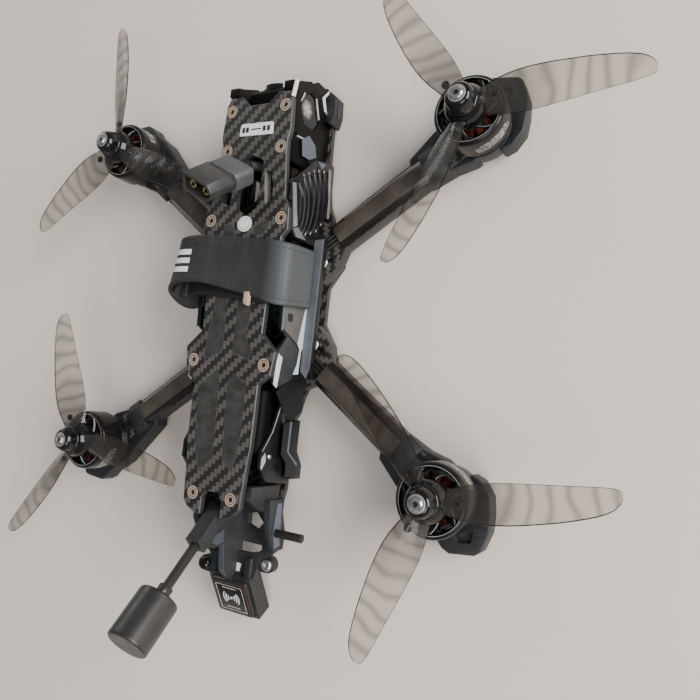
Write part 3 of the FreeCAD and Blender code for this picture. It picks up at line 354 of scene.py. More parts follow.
MAT = {
    "carbon": carbon("carbon_plates"),
    "inlay": plain("smooth_inlay", (0.036, 0.035, 0.033), 0.42, (0.6, 0.35, 0.1, 0.02, 0.3)),
    "cover": cover("smoked_cover"),
    "line": plain("inlay_line", (0.060, 0.062, 0.066), 0.36, (0.6, 0.4, 0.1, 0.0, 0.3)),
    "tpu": printed("printed_black", (0.013, 0.0145, 0.017)),
    # bluish facets on the black print: painted reflection
    "tpu_blue": printed("printed_sheen_facet", (0.040, 0.047, 0.060), rough=0.42),
    "panel": plain("panel_grey", (0.009, 0.0098, 0.012), 0.32, (1.0, 0.18, 0.08, 0.012),
            Specular_IOR_Level=0.3),
    "cage": plain("cage_satin", (0.0050, 0.0048, 0.0048), 0.42, (1.0, 0.25, 0.1, 0.012),
            Specular_IOR_Level=0.12),
    "bar": plain("side_bar", (0.105, 0.118, 0.135), 0.36, (1.0, 0.12, 0.08, 0.01), metal=0.1),
    "fin": plain("fin_gloss", (0.010, 0.009, 0.011), 0.24, (1.0, 0.2, 0.06, 0.01)),
    "bell": plain("bell_black", (0.009, 0.0085, 0.008), 0.24, (0.8, 0.3, 0.06, 0.004),
            Specular_IOR_Level=0.28),
    # dark sheets in each screw socket, the shaft's hole and the rear port: painted shade
    "dark": plain("painted_shade_dark", (0.008, 0.007, 0.006), 0.6, (0.5, 0.2, 0.1, 0.0)),
    # also the lit wall inside the slot and the louvre's pale edge strips: painted highlights
    "collar": plain("nut_collar", (0.30, 0.295, 0.28), 0.34, (0.5, 0.15, 0.1, 0.01, 0.2), metal=0.5),
    "gloss": plain("black_gloss", (0.006, 0.006, 0.007), 0.13, (0.8, 0.3, 0.05, 0.004),
            Specular_IOR_Level=0.4),
    "alloy": metal("dark_alloy", (0.03, 0.03, 0.033), 0.3),
    "steel": metal("bright_steel", (0.66, 0.65, 0.63), 0.2),
    "bronze": plain("screw_bronze", (0.36, 0.27, 0.20), 0.3, (0.5, 0.15, 0.08, 0.004), metal=0.35),
    # lighter rings on the screw heads' bevels: painted highlights
    "rim": plain("screw_rim_glint", (0.60, 0.49, 0.39), 0.28, (0.5, 0.1, 0.08, 0.004), metal=0.3),
    "black_screw": metal("screw_black", (0.045, 0.043, 0.041), 0.3),
    # bright strips on chamfers, bevels and rims: painted glints
    "trim": plain("painted_glint_edge", (0.62, 0.63, 0.65), 0.24, (0.8, 0.08, 0.06, 0.004), metal=0.55),
    "copper": copper("copper_wire"),
    "stator": stator_steel("stator_stack"),
    "smoke": smoke("smoked_blade"),
    "plug": plain("plug_plastic", (0.030, 0.030, 0.030), 0.42, (0.5, 0.2, 0.1, 0.02, 0.2)),
    "plug_cap": plain("plug_cap_satin", (0.075, 0.077, 0.078), 0.36, (0.5, 0.12, 0.08, 0.015, 0.2)),
    "gold": metal("gold_pin", (0.83, 0.60, 0.24), 0.18),
    "strap": coated_strap("strap_face"),
    "web": webbing("strap_webbing", (0.006, 0.0065, 0.008)),
    "thread": webbing("strap_thread", (0.045, 0.045, 0.047), 0.4, 0.7, 0.03),
    "braid": braid("lead_sleeve"),
    "rubber": plain("soft_rubber", (0.014, 0.014, 0.014), 0.4, (0.7, 0.2, 0.1, 0.02)),
    "antenna": plain("antenna_shell", (0.022, 0.021, 0.020), 0.36, (0.7, 0.14, 0.08, 0.02, 0.22)),
    # white print and a small white chip, also painted glints on the cage's chevrons and top facet
    "white": plain("white_print_and_glint", (0.80, 0.79, 0.77), 0.5, (0.8, 0.05, 0.1, 0.006)),
    "tan": webbing("tan_ribbon", (0.34, 0.24, 0.18), 0.5),
    "label": plain("label_film", (0.010, 0.008, 0.007), 0.34, (0.8, 0.3, 0.08, 0.006)),
    # pale chamfer strips: painted highlights
    "pale": plain("painted_chamfer_highlight", (0.52, 0.57, 0.64), 0.3, (0.8, 0.08, 0.06, 0.004)),
    "film": film("pale_film"),
    "slate": plain("panel_slate", (0.030, 0.031, 0.034), 0.34, (1.0, 0.15, 0.08, 0.01)),
    "hub": plain("blade_root", (0.009, 0.0085, 0.0085), 0.12, (2.0, 0.25, 0.05, 0.004),
            Specular_IOR_Level=0.35),
    # blue-grey facets: painted sky reflection
    "sky": plain("painted_sky_reflection", (0.085, 0.102, 0.128), 0.3, (0.8, 0.1, 0.08, 0.008)),
    "face": plain("face_grey", (0.088, 0.083, 0.081), 0.34, (1.0, 0.12, 0.08, 0.01)),
    "red": plain("board_edge", (0.060, 0.030, 0.027), 0.4, (0.5, 0.3, 0.1, 0.02)),
    "board": board_green("circuit_board"),
    "chip": plain("chip_epoxy", (0.016, 0.016, 0.017), 0.42, (0.4, 0.2, 0.1, 0.01)),
    "solder": metal("solder", (0.62, 0.62, 0.6), 0.32),
    "sleeve": plain("can_sleeve", (0.0035, 0.003, 0.003), 0.42, (1.5, 0.3, 0.06, 0.006),
            Specular_IOR_Level=0.05),
    "lens": plain("lens_glass", (0.004, 0.004, 0.006), 0.06, (3.0, 0.3, 0.02, 0.0), Coat_Weight=0.5,
            Coat_Tint=(0.8, 0.8, 0.9, 1)),
    "window": jewel("smoked_window"),
}


# ---- mesh helpers
def mesh_piece(name, verts, faces, mat, body="frame", slot=None, smooth=40):
    data = bpy.data.meshes.new(name)
    data.from_pydata([tuple(c * MM for c in v) for v in verts], [], faces)
    work = bmesh.new()
    work.from_mesh(data)
    bmesh.ops.remove_doubles(work, verts=work.verts, dist=WELD)
    bmesh.ops.recalc_face_normals(work, faces=work.faces)
    work.to_mesh(data)
    work.free()
    piece = bpy.data.objects.new(name, data)
    scene.collection.objects.link(piece)
    data.materials.append(MAT[mat])
    for polygon in data.polygons:
        polygon.use_smooth = bool(smooth)
    if smooth:
        data.set_sharp_from_angle(angle=math.radians(smooth))
    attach(piece, body)
    return piece


def soften(piece, width, segments=2, angle=35):
    weld = piece.modifiers.new("weld", "WELD")
    weld.merge_threshold = WELD
    edge = piece.modifiers.new("edge", "BEVEL")
    edge.width = width * MM
    edge.segments = segments
    edge.limit_method = "ANGLE"
    edge.angle_limit = math.radians(angle)
    edge.harden_normals = True
    for polygon in piece.data.polygons:
        polygon.use_smooth = True
    return piece


def joined(*shapes):
    verts, faces = [], []
    for v, f in shapes:
        base = len(verts)
        verts += v
        faces += [[i + base for i in face] for face in f]
    return verts, faces


def stack(loops, closed=False):
    """Skin a list of equally long point loops; an open row gets an end face at either end."""
    n = len(loops[0])
    verts = [p for loop in loops for p in loop]
    faces = []
    for k in range(len(loops) - (0 if closed else 1)):
        a, b = k * n, ((k + 1) % len(loops)) * n
        faces += [[a + i, a + (i + 1) % n, b + (i + 1) % n, b + i] for i in range(n)]
    if not closed:
        faces += [list(range(n))[::-1], [len(verts) - n + i for i in range(n)]]
    return verts, faces


def prism(points, z0, z1):
    return stack([[(x, y, z0) for x, y in points], [(x, y, z1) for x, y in points]])


def side_prism(points, x0, x1):
    return stack([[(x0, y, z) for y, z in points], [(x1, y, z) for y, z in points]])


def block(x0, x1, y0, y1, z0, z1):
    return prism([(x0, y0), (x1, y0), (x1, y1), (x0, y1)], z0, z1)


def lathe(profile, x=0.0, y=0.0, n=56):
    """Revolve a closed (radius, z) outline about a vertical axis."""
    loops = []
    for i in range(n):
        a = math.tau * i / n
        loops.append([(x + r * math.cos(a), y + r * math.sin(a), z) for r, z in profile])
    return stack(loops, closed=True)


def ring(radius, tube, z, x, y, n, m):
    return lathe([(radius + tube * math.cos(math.tau * i / m), z + tube * math.sin(math.tau * i / m))
                  for i in range(m)], x, y, n)


def rod_between(a, b, radius, n=16):
    a, b = Vector(a), Vector(b)
    axis = (b - a).normalized()
    side = axis.orthogonal().normalized()
    other = axis.cross(side)
    loop = [side * (radius * math.cos(math.tau * i / n)) + other * (radius * math.sin(math.tau * i / n))
            for i in range(n)]
    return stack([[tuple(p + o) for o in loop] for p in (a, b)])


def turned(shape, matrix):
    verts, faces = shape
    return [tuple(matrix @ Vector(v)) for v in verts], faces


def mirrored(shape):
    verts, faces = shape
    return [(-x, y, z) for x, y, z in verts], faces


def dress(node, mat, bevel=0.0, segments=2):
    """Give a CAD node its material, with rounded or sharp edges."""
    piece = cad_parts[node]
    piece.data.materials.clear()
    piece.data.materials.append(MAT[mat])
    if bevel:
        soften(piece, bevel, segments)
    else:
        for polygon in piece.data.polygons:
            polygon.use_smooth = True
        piece.data.set_sharp_from_angle(angle=math.radians(32))
    return piece


# ---- battery lead
LEAD = [(3.28, -51.77, 40.80), (2.1, -55.6, 35.9), (-2.4, -56.0, 28.0), (-7.4, -52.4, 20.6),
    (-11.6, -44.6, 16.8), (-12.2, -30.5, 16.8), (-13.0, -20.25, 16.8)]
curve = bpy.data.curves.new("lead", "CURVE")
curve.dimensions = "3D"
curve.bevel_depth = 2.2 * MM
curve.bevel_resolution = 6
curve.resolution_u = 16
line = curve.splines.new("NURBS")
line.points.add(len(LEAD) - 1)
for point, (x, y, z) in zip(line.points, LEAD):
    point.co = (x * MM, y * MM, z * MM, 1)
line.order_u = 3
line.use_endpoint_u = True
curve.materials.append(MAT["braid"])
lead = bpy.data.objects.new("lead", curve)
scene.collection.objects.link(lead)
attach(lead, "frame")
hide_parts("battery_lead")

PLUG_FRONT, PLUG_BACK = Vector((8.0, -36.8, 60.3)), Vector((3.3, -51.7, 40.9))
plug_axis = (PLUG_FRONT - PLUG_BACK).normalized()
side = plug_axis.orthogonal().normalized()
other = plug_axis.cross(side)
boot_loops = []
for step, radius in ((0.2, 3.1), (-0.6, 3.3), (-1.6, 3.3), (-1.8, 2.9), (-2.6, 2.9), (-2.8, 3.2), (-3.8, 3.1),
        (-4.0, 2.7), (-5.2, 2.35)):
    centre = PLUG_BACK + plug_axis * step
    boot_loops.append([tuple(centre + side * (radius * math.cos(a * math.pi / 14))
            + other * (radius * math.sin(a * math.pi / 14))) for a in range(28)])
boot = mesh_piece("lead_boot", *stack(boot_loops), "rubber", slot="lead_rubber")
dress("connector_housing", "plug", 0.35)
dress("connector_cap", "plug_cap", 0.2)
dress("connector_pins", "gold")


# ---- plain CAD nodes
for node, mat, bevel in (
        ("bottom_plate", "carbon", 0.0), ("mid_plate", "carbon", 0.0), ("top_plate", "carbon", 0.0),
        ("camera_plate_left", "cage", 0.5), ("camera_plate_right", "cage", 0.5),
        ("arm_covers", "cover", 0.25), ("motor_guards", "tpu", 0.3), ("front_bumper", "tpu", 0.5),
        ("rear_mount", "tpu", 0.25), ("motor_wires", "rubber", 0.0), ("standoffs", "alloy", 0.0),
        ("top_screws", "bronze", 0.0), ("bottom_screws", "black_screw", 0.0), ("arm_screws", "steel", 0.0),
        ("motor_screws", "black_screw", 0.0), ("stack_screws", "black_screw", 0.0),
        ("stack_spacers", "rubber", 0.0), ("mount_screws", "steel", 0.0),
        ("camera_body", "cage", 0.3), ("camera_lens", "lens", 0.0),
        ("front_panel_left", "fin", 0.3), ("front_panel_right", "fin", 0.3),
        ("rear_panel_left", "panel", 0.55), ("rear_panel_right", "panel", 0.55),
        ("receiver_antenna", "rubber", 0.4), ("gps_module", "antenna", 1.0), ("gps_label", "label", 0.05),
        ("antenna_stalk", "antenna", 0.15), ("antenna_head", "antenna", 0.0), ("esc_board", "board", 0.0),
        ("flight_controller", "board", 0.0), ("video_transmitter", "alloy", 0.2),
        ("capacitor", "sleeve", 0.0), ("motor_windings", "copper", 0.0)):
    dress(node, mat, bevel)
for corner, (sx, sy) in CORNERS.items():
    dress("stator_" + corner, "stator")
    piece = dress("arm_" + corner, "carbon", 0.3)
    piece.data.materials[0] = carbon("carbon_arm_" + corner, math.radians(-sx * sy * 53.9))


# ---- screw heads in the top plate
BOLTS = [(sx * x, y) for x, y in ((14.0, -79.3), (14.0, -61.4), (18.2, -30.8), (18.2, 29.8), (9.8, 84.7))
         for sx in (-1, 1)]


def flat_ring(inner, outer, z, x, y):
    return lathe([(inner, z - 0.03), (outer, z - 0.03), (outer, z + 0.03), (inner, z + 0.03)], x, y, 40)


# dark hex discs deep in each socket and thin dark rings on each head: painted shade
socket_shades = []
for x, y in BOLTS:
    hexagon = [(x + 1.22 * math.cos(math.pi * k / 3), y + 1.22 * math.sin(math.pi * k / 3)) for k in range(6)]
    socket_shades += [prism(hexagon, TOP - 0.62, TOP - 0.5), flat_ring(2.74, 3.0, TOP, x, y),
            flat_ring(1.78, 1.9, TOP, x, y)]
mesh_piece("screw_sockets", *joined(*socket_shades), "dark", slot="black_screw")
# lighter rings on each head's bevels: painted highlights
rim_glints = [flat_ring(a, b, TOP + 0.01, x, y) for x, y in BOLTS for a, b in ((2.4, 2.66), (1.3, 1.5))]
mesh_piece("screw_rims", *joined(*rim_glints), "rim", slot="bronze_screw")


# ---- motors
# section of the bright strips along the spokes' upper edges: painted glints
GLINT_SECTION = ((0.0, 0.06), (0.62, 0.06), (0.62, -0.02), (0.0, -0.02))


def corner_at(loop, side, along, lift):
    """A point near one upper edge of a spoke's section, moved inwards along its slope and lifted off it."""
    outer, inner = (Vector(loop[2]), Vector(loop[3])) if side > 0 else (Vector(loop[5]), Vector(loop[4]))
    slope = (inner - outer).normalized()
    return tuple(outer + slope * along + Vector((0, 0, lift)))


def rotor(corner):
    cx, cy = CORNERS[corner][0] * MOTOR_X, CORNERS[corner][1] * MOTOR_Y
    spin = SPIN[corner]
    body = "rotor_" + corner
    can = [(14.0, 17.0), (14.0, 26.0), (13.85, 27.0), (13.3, 27.75), (12.6, 28.0), (12.3, 27.85),
            (12.2, 27.3), (12.2, 24.9), (11.1, 24.6), (11.1, 17.3), (11.4, 17.0)]
    groove = [(14.04, 18.2), (14.04, 18.5), (13.7, 18.35)]
    hub = [(1.9, 25.4), (6.0, 25.4), (6.6, 26.0), (6.8, 27.2), (6.5, 27.8), (5.8, 28.0), (1.9, 28.0)]
    shapes = [lathe(can, cx, cy, 80), lathe(groove, cx, cy, 80), lathe(hub, cx, cy, 64)]
    # bright ring on the bell's rim and bright strips along the spokes: painted glints
    edges = [ring(12.45, 0.16, 27.85, cx, cy, 80, 6)]
    for k in range(SPOKES):
        loops = []
        for i in range(9):
            t = i / 8
            r = 6.2 + 6.3 * t
            a = math.radians(360 * k / SPOKES + 17) + spin * 0.62 * t ** 1.2
            half = 0.5 * (2.3 - 1.1 * math.sin(math.pi * t) + 0.5 * t * t)
            lift = 0.35 * math.sin(math.pi * t)
            out = Vector((math.cos(a), math.sin(a), 0))
            across = Vector((-math.sin(a), math.cos(a), 0))
            centre = Vector((cx, cy, 0)) + out * r
            section = [(-half, 25.5), (half, 25.5), (half, 27.0 - lift), (half * 0.45, 27.75 - lift),
                       (-half * 0.45, 27.75 - lift), (-half, 27.0 - lift)]
            loops.append([tuple(centre + across * w + Vector((0, 0, z))) for w, z in section])
        shapes.append(stack(loops))
        for side in (-1, 1):
            edges.append(stack([[corner_at(loop, side, w, z) for w, z in GLINT_SECTION] for loop in loops[1:-1]]))
    bell = mesh_piece("bell_can_" + corner, *joined(*shapes), "bell", body, "black_alloy", 35)
    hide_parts("bell_" + corner)
    mesh_piece("bell_glints_" + corner, *joined(*edges), "trim", body, "bare_steel", 35)
    label = []
    for i in range(17):
        a = math.radians((100 if spin > 0 else 204) + 4.25 * i)
        drop = 1.2 * (i / 8 - 1) ** 2
        label.append([(cx + r * math.cos(a), cy + r * math.sin(a), z)
                      for r, z in ((14.0, 19.2), (14.06, 19.2), (14.06, 24.0 - drop), (14.0, 24.0 - drop))])
    mesh_piece("bell_label_" + corner, *stack(label), "film", body, "label_film", 35)
    shaft = lathe([(0.0, 12.6), (1.95, 12.6), (1.95, 25.6), (2.48, 25.8), (2.48, 41.9), (2.1, 42.3),
            (1.05, 42.3), (0.95, 42.1), (0.95, 40.6), (0.0, 40.2)], cx, cy, 32)
    mesh_piece("motor_shaft_" + corner, *shaft, "steel", body, "bare_steel", 35)
    # dark disc inside the hole in the shaft's tip: painted shade
    socket = lathe([(0.0, 41.6), (0.96, 41.6), (0.96, 41.7), (0.0, 41.7)], cx, cy, 24)
    mesh_piece("shaft_socket_" + corner, *socket, "dark", body, "black_screw", 35)
    dome = [(2.55, 35.0), (6.2, 35.0), (6.4, 35.3), (6.35, 36.1), (6.0, 36.5), (5.8, 36.6), (5.75, 37.4),
            (5.55, 38.6), (5.15, 39.7), (4.6, 40.6), (4.0, 41.1), (3.45, 41.3), (3.4, 40.9), (2.55, 40.9)]
    nut = mesh_piece("nut_" + corner, *lathe(dome, cx, cy, 64), "gloss", body, "black_screw", 40)
    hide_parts("prop_nut_" + corner)
    ring_face = [(2.55, 40.8), (3.38, 40.8), (3.38, 41.35), (3.2, 41.5), (2.55, 41.5)]
    mesh_piece("nut_collar_" + corner, *lathe(ring_face, cx, cy, 48), "collar", body, "black_screw", 40)
    magnets = []
    for k in range(MAGNETS):
        plate = block(10.95, 11.6, -2.1, 2.1, 17.4, 24.4)
        magnets.append(turned(plate, Matrix.Translation((cx, cy, 0))
                              @ Matrix.Rotation(math.tau * k / MAGNETS, 4, "Z")))
    mesh_piece("magnets_" + corner, *joined(*magnets), "steel", body, "bare_steel", 30)


# leading edge up, trailing edge down; stations run (radius, chord, pitch angle, thickness, sweep)
STATIONS = [(5.0, 8.4, 27, 2.5, 0.0), (7.5, 9.6, 26.5, 2.3, 0.05), (10, 10.8, 26, 2.1, 0.1),
    (13, 12.3, 25.5, 1.95, 0.2), (16, 13.4, 25, 1.8, 0.3), (20, 14.3, 23.5, 1.65, 0.35),
    (24, 14.5, 22, 1.5, 0.4), (29, 14.3, 20, 1.4, 0.35), (34, 13.7, 18, 1.3, 0.3),
    (39, 12.9, 16.4, 1.2, 0.15), (44, 12.1, 15, 1.1, 0.0), (49, 11.1, 13.6, 1.0, -0.3),
    (53, 10.2, 12.5, 0.95, -0.6), (57, 9.1, 11.6, 0.9, -1.0), (60, 7.9, 11, 0.85, -1.4),
    (62.2, 6.4, 10.5, 0.8, -1.9), (63.8, 4.4, 10, 0.75, -2.4), (64.7, 1.9, 10, 0.6, -2.8)]
AIRFOIL = [(-0.5, 0.0), (-0.47, 0.2), (-0.40, 0.34), (-0.28, 0.47), (-0.12, 0.53), (0.06, 0.51), (0.22, 0.40),
           (0.36, 0.25), (0.46, 0.1), (0.5, 0.0), (0.46, -0.08), (0.34, -0.18), (0.16, -0.25), (-0.04, -0.29),
           (-0.22, -0.29), (-0.36, -0.24), (-0.46, -0.14)]


def propeller(corner):
    cx, cy = CORNERS[corner][0] * MOTOR_X, CORNERS[corner][1] * MOTOR_Y
    spin = SPIN[corner]
    centre = lathe([(2.56, 28.0), (7.6, 28.0), (8.1, 28.4), (8.1, 32.2), (7.8, 33.2), (7.1, 34.2),
            (6.6, 35.0), (6.0, 35.1), (2.56, 35.0)], cx, cy, 64)
    mesh_piece("prop_hub_" + corner, *centre, "hub", "rotor_" + corner, "prop_smoke", 40)
    shapes, edges = [], []
    for k in range(BLADES):
        angle = math.radians(FIRST_TIP[corner] + 360 / BLADES * k)
        turn = Matrix.Translation((cx, cy, 0)) @ Matrix.Rotation(angle, 4, "Z")
        loops = []
        for r, chord, pitch, thick, sweep in STATIONS:
            p = math.radians(pitch)
            loop = []
            for a, u in AIRFOIL:
                c = sweep - a * chord
                h = u * thick + 0.9 * (0.25 - a * a) * thick
                loop.append((r, spin * (c * math.cos(p) - h * math.sin(p)),
                             BLADE_Z + c * math.sin(p) + h * math.cos(p)))
            loops.append(loop)
        shapes.append(turned(stack(loops), turn))
        for at, radius in ((0, 0.2), (9, 0.1)):
            wire = [[(r, y + radius * math.cos(k * math.pi / 3), z + radius * math.sin(k * math.pi / 3))
                     for k in range(6)] for r, y, z in (loop[at] for loop in loops[1:])]
            edges.append(turned(stack(wire), turn))
        boss = [(0.0, 32.3), (1.5, 32.3), (1.5, 33.1), (1.2, 33.3), (0, 33.3)]
        edges.append(turned(lathe(boss, 11.4, spin * 1.4, 24), turn))
    prop = mesh_piece("prop_" + corner, *joined(*shapes), "smoke", "rotor_" + corner, "prop_smoke", 40)
    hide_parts("propeller_" + corner)
    mesh_piece("prop_edges_" + corner, *joined(*edges), "hub", "rotor_" + corner, "prop_smoke", 40)


for corner in CORNERS:
    rotor(corner)
    propeller(corner)


# ---- top plate: inlays, labels
INLAYS = {
    "rear_a": [(12.9, 26), (12.7, 29.6), (4.2, 26.2), (3.2, 24), (4.4, 2), (10.2, 2)],
    "rear_b": [(-1.7, 2), (-1.9, 26.6), (-6.4, 26.8), (-10.4, 28.3), (-12.2, 25), (-8, 19.6), (-9.0, 2)],
    "rear_c": [(12.4, 62), (13.7, 41), (7.2, 34.6), (4.1, 33), (2.7, 40), (1.9, 70), (8.6, 76)],
    "rear_d": [(-3.2, 70), (-1.2, 38), (-3.9, 34.2), (-10.9, 37.4), (-11.2, 60), (-9.0, 74)],
    "front_a": [(10.6, -29.2), (5.2, -28.4), (4.6, -24.0), (10.4, -24.0)],
    "front_b": [(-11.6, -30.6), (-5.0, -27.2), (-5.0, -24.0), (-10.0, -24.0), (-12.4, -27.0)],
}

for name, outline in INLAYS.items():
    piece = mesh_piece("inlay_" + name, *prism(outline, TOP - 0.05, TOP + 0.07), "inlay", slot="carbon_plate")
    soften(piece, 0.06, 1)
    ring_points = [Vector(p) for p in outline]
    middle = sum(ring_points, Vector((0, 0))) / len(ring_points)
    groove = []
    for i, here in enumerate(ring_points):
        ahead = ring_points[(i + 1) % len(ring_points)]
        a_in, b_in = (p + (middle - p).normalized() * 0.32 for p in (here, ahead))
        groove.append(prism([tuple(here), tuple(ahead), tuple(b_in), tuple(a_in)], TOP + 0.05, TOP + 0.085))
    mesh_piece("inlay_edge_" + name, *joined(*groove), "line", slot="carbon_plate", smooth=0)

# light grey inner wall of the slot: painted light
mesh_piece("slot_wall_lit_right", *prism([(-7.5, -51.2), (-8.15, -45.0), (-9.4, -37.2), (-8.9, -37.6),
    (-7.75, -45.0), (-7.1, -51.0)], UNDER, TOP - 0.02), "collar", slot="panel_grey")
mesh_piece("plate_label", *prism([(8.3, -67.6), (-8.9, -67.2), (-9.3, -67.6), (-9.1, -71.9), (-8.4, -72.6),
    (6.9, -72.9), (7.9, -72.4)], TOP, TOP + 0.14), "white", slot="label_film")
dashes = [block(x, x + 1.5, -71.2, -68.9, TOP + 0.13, TOP + 0.17) for x in (-7.4, -5.2, 3.6, 5.6)]
dashes += [block(-2.8, 2.4, -70.4, -69.8, TOP + 0.13, TOP + 0.17)]
mesh_piece("plate_label_marks", *joined(*dashes), "chip", slot="label_film")
seat = Matrix.Translation((-0.2, -28.8, TOP + 0.02)) @ Matrix.Diagonal((1, 0.9, 1, 1))
disc = lathe([(0, 0), (3.7, 0), (3.7, 0.1), (0, 0.12)], n=48)
mesh_piece("round_label", *turned(disc, seat), "white", slot="label_film")
circle = lathe([(2.8, 0.1), (2.95, 0.1), (2.95, 0.15), (2.8, 0.15)], n=48)
mesh_piece("round_label_line", *turned(circle, seat), "chip", slot="label_film")


# ---- battery strap
# middle of the band and its two edges all the way round: x, z, front y, rear y
LOOP = [(-9, 39.4, -22.0, 2.4), (-16.5, 39.2, -21.4, 4.4), (-21.2, 37.6, -20.8, 5.2),
    (-23.9, 33.6, -20.6, 5.0), (-24.7, 22, -21.0, 3.6), (-23.2, 18.4, -21.0, 3.4),
    (-21.4, 20.6, -20.4, 2.0), (-20.8, 30, -20.0, 2.0), (-17.5, 33.0, -19.5, 3.4),
    (-6, 33.6, -18.5, 4.4), (8, 33.6, -17.5, 5.2), (18, 33.3, -16.8, 6.4), (24.5, 34.0, -17.0, 7.4),
    (28.6, 37.0, -19.5, 5.0), (29.0, 41.4, -21.6, 1.4), (24, 44.3, -22.3, -1.6),
    (15, 43.9, -22.8, -2.4), (6, 41.6, -22.6, -0.8)]


def spline(points, per, closed):
    """Catmull-Rom through the points."""
    n = len(points)
    out = []
    for i in range(n if closed else n - 1):
        p = [Vector(points[(i + k) % n] if closed else points[min(max(i + k, 0), n - 1)])
                for k in (-1, 0, 1, 2)]
        for j in range(per):
            t = j / per
            out.append(0.5 * ((2 * p[1]) + (p[2] - p[0]) * t + (2 * p[0] - 5 * p[1] + 4 * p[2] - p[3]) * t * t
                              + (3 * p[1] - p[0] - 3 * p[2] + p[3]) * t ** 3))
    if not closed:
        out.append(Vector(points[-1]))
    return out


class Band:
    """A flat strap that follows a path in the XZ plane; its edges and its lean vary along the way."""

    def __init__(self, points, per=8, closed=True, lean=0.0):
        self.path = spline(points, per, closed)
        self.closed = closed
        self.lean = lean

    def frame(self, i):
        n = len(self.path)
        here = self.path[i % n]
        a = self.path[(i - 1) % n] if self.closed else self.path[max(i - 1, 0)]
        b = self.path[(i + 1) % n] if self.closed else self.path[min(i + 1, n - 1)]
        t = Vector((b[0] - a[0], b[1] - a[1])).normalized()
        return here, t, Vector((t.y, -t.x))

    def point(self, i, y, lift):
        here, _, normal = self.frame(i)
        lean = self.lean * max(0.0, min(1.0, (here[0] - 12) / 16)) * (y - here[2]) / (here[3] - here[2])
        return (here[0] + lean + normal.x * lift, y, here[1] + normal.y * lift)

    def shape(self, thick):
        h = thick / 2
        loops = []
        for i in range(len(self.path)):
            front, back = self.path[i][2], self.path[i][3]
            loops.append([self.point(i, y, o) for y, o in (
                (front, -0.4 * h), (front, 0.4 * h), (front + 0.3, h), (front + 0.9, h * 1.3),
                (front + 1.5, h * 1.3), (front + 2.0, h), (back - 2.0, h), (back - 1.5, h * 1.3),
                (back - 0.9, h * 1.3), (back - 0.3, h), (back, 0.4 * h), (back, -0.4 * h),
                (back - 0.35, -h), (front + 0.35, -h))])
        return stack(loops, closed=self.closed)

    def stitches(self, lift, inset, pitch, length):
        made = []
        walked = 0.0
        for i in range(len(self.path)):
            here, t, _ = self.frame(i)
            ahead = self.path[(i + 1) % len(self.path)]
            walked += math.hypot(ahead[0] - here[0], ahead[1] - here[1])
            if walked < pitch:
                continue
            walked = 0.0
            for y in (here[2] + inset, here[3] - inset):
                start = Vector(self.point(i, y, lift))
                made.append(rod_between(start, start + Vector((t.x, 0, t.y)) * length, 0.16, 8))
        return joined(*made)


band = Band(LOOP, 12, True, 4.5)
strap = mesh_piece("strap_band", *band.shape(1.5), "strap", slot="strap_fabric", smooth=50)
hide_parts("battery_strap")
mesh_piece("strap_stitches", *band.stitches(0.82, 2.5, 1.9, 1.15), "thread", slot="strap_fabric")
tail = Band([(26.5, 41.2, -19.0, 2.6), (25.6, 38.8, -18.5, 3.6), (20, 38.8, -18, 2.0), (8, 38.75, -18, 2.6),
             (-8, 38.7, -18, 4.2), (-16, 38.65, -18, 5.0)], 6, False)
mesh_piece("strap_tail", *tail.shape(0.9), "web", slot="strap_fabric", smooth=50)
lining = Band([(x - (1.2 if x > 20 else 0), z - (1.0 if z > 40 else -1.0), front + 1.5, back - 0.4)
               for x, z, front, back in LOOP[11:]], 8, False, 4.5)
mesh_piece("strap_lining", *lining.shape(0.5), "web", slot="strap_fabric", smooth=50)
spots = []
start = min(range(len(band.path)), key=lambda i: math.dist(band.path[i][:2], (28.2, 42.6)))
for y in (-16.4, -12.7, -9.0):
    loops = [[band.point(start + i, y + w, 0.86) for w in (0, 2.3)]
            + [band.point(start + i, y + w, 0.96) for w in (2.3, 0)] for i in range(-7, 16)]
    spots.append(stack(loops))
mesh_piece("strap_mark", *joined(*spots), "white", slot="label_film")
tab = Band([(-6.2, 40.4, 0.5, 5.2), (-6.9, 40.8, 0.5, 5.6), (-8.4, 40.5, 0.5, 6.2), (-9.0, 39.6, 0.5, 6.0)],
    4, False)
mesh_piece("strap_tab", *tab.shape(0.5), "tan", slot="strap_fabric", smooth=50)


# ---- side details, the same on both sides
def facet(points, x, thick=0.3, lean=0.0):
    """A flat facet given by (y, z) corners on a side plane, leaning outwards towards its lower edge."""
    top = max(z for _, z in points)
    outer = [(-(x + thick + lean * (top - z)), y, z) for y, z in points]
    inner = [(-x, y, z) for y, z in points]
    return stack([outer, inner])


def both(name, shape, mat, slot="panel_grey", smooth=40, bevel=0.0):
    for tag, one in (("right", shape), ("left", mirrored(shape))):
        piece = mesh_piece(name + "_" + tag, *one, mat, slot=slot, smooth=smooth)
        if bevel:
            soften(piece, bevel, 2)


def swept(points, x, half, out):
    """A raised rib with a crowned section along (y, z) points on the side plane."""
    loops = []
    path = spline(points, 6, False)
    for i, p in enumerate(path):
        a, b = path[max(i - 1, 0)], path[min(i + 1, len(path) - 1)]
        d = (b - a).normalized()
        n = Vector((-d.y, d.x))
        t = i / (len(path) - 1)
        bow = math.sin(math.pi * t) ** 0.5 if 0 < t < 1 else 0.0
        loops.append([(-(x + o * bow), p.x + n.x * w * half, p.y + n.y * w * half)
                      for w, o in ((-1, 0), (-1, out * 0.6), (-0.3, out), (0.5, out * 0.8), (1, 0))])
    return stack(loops)


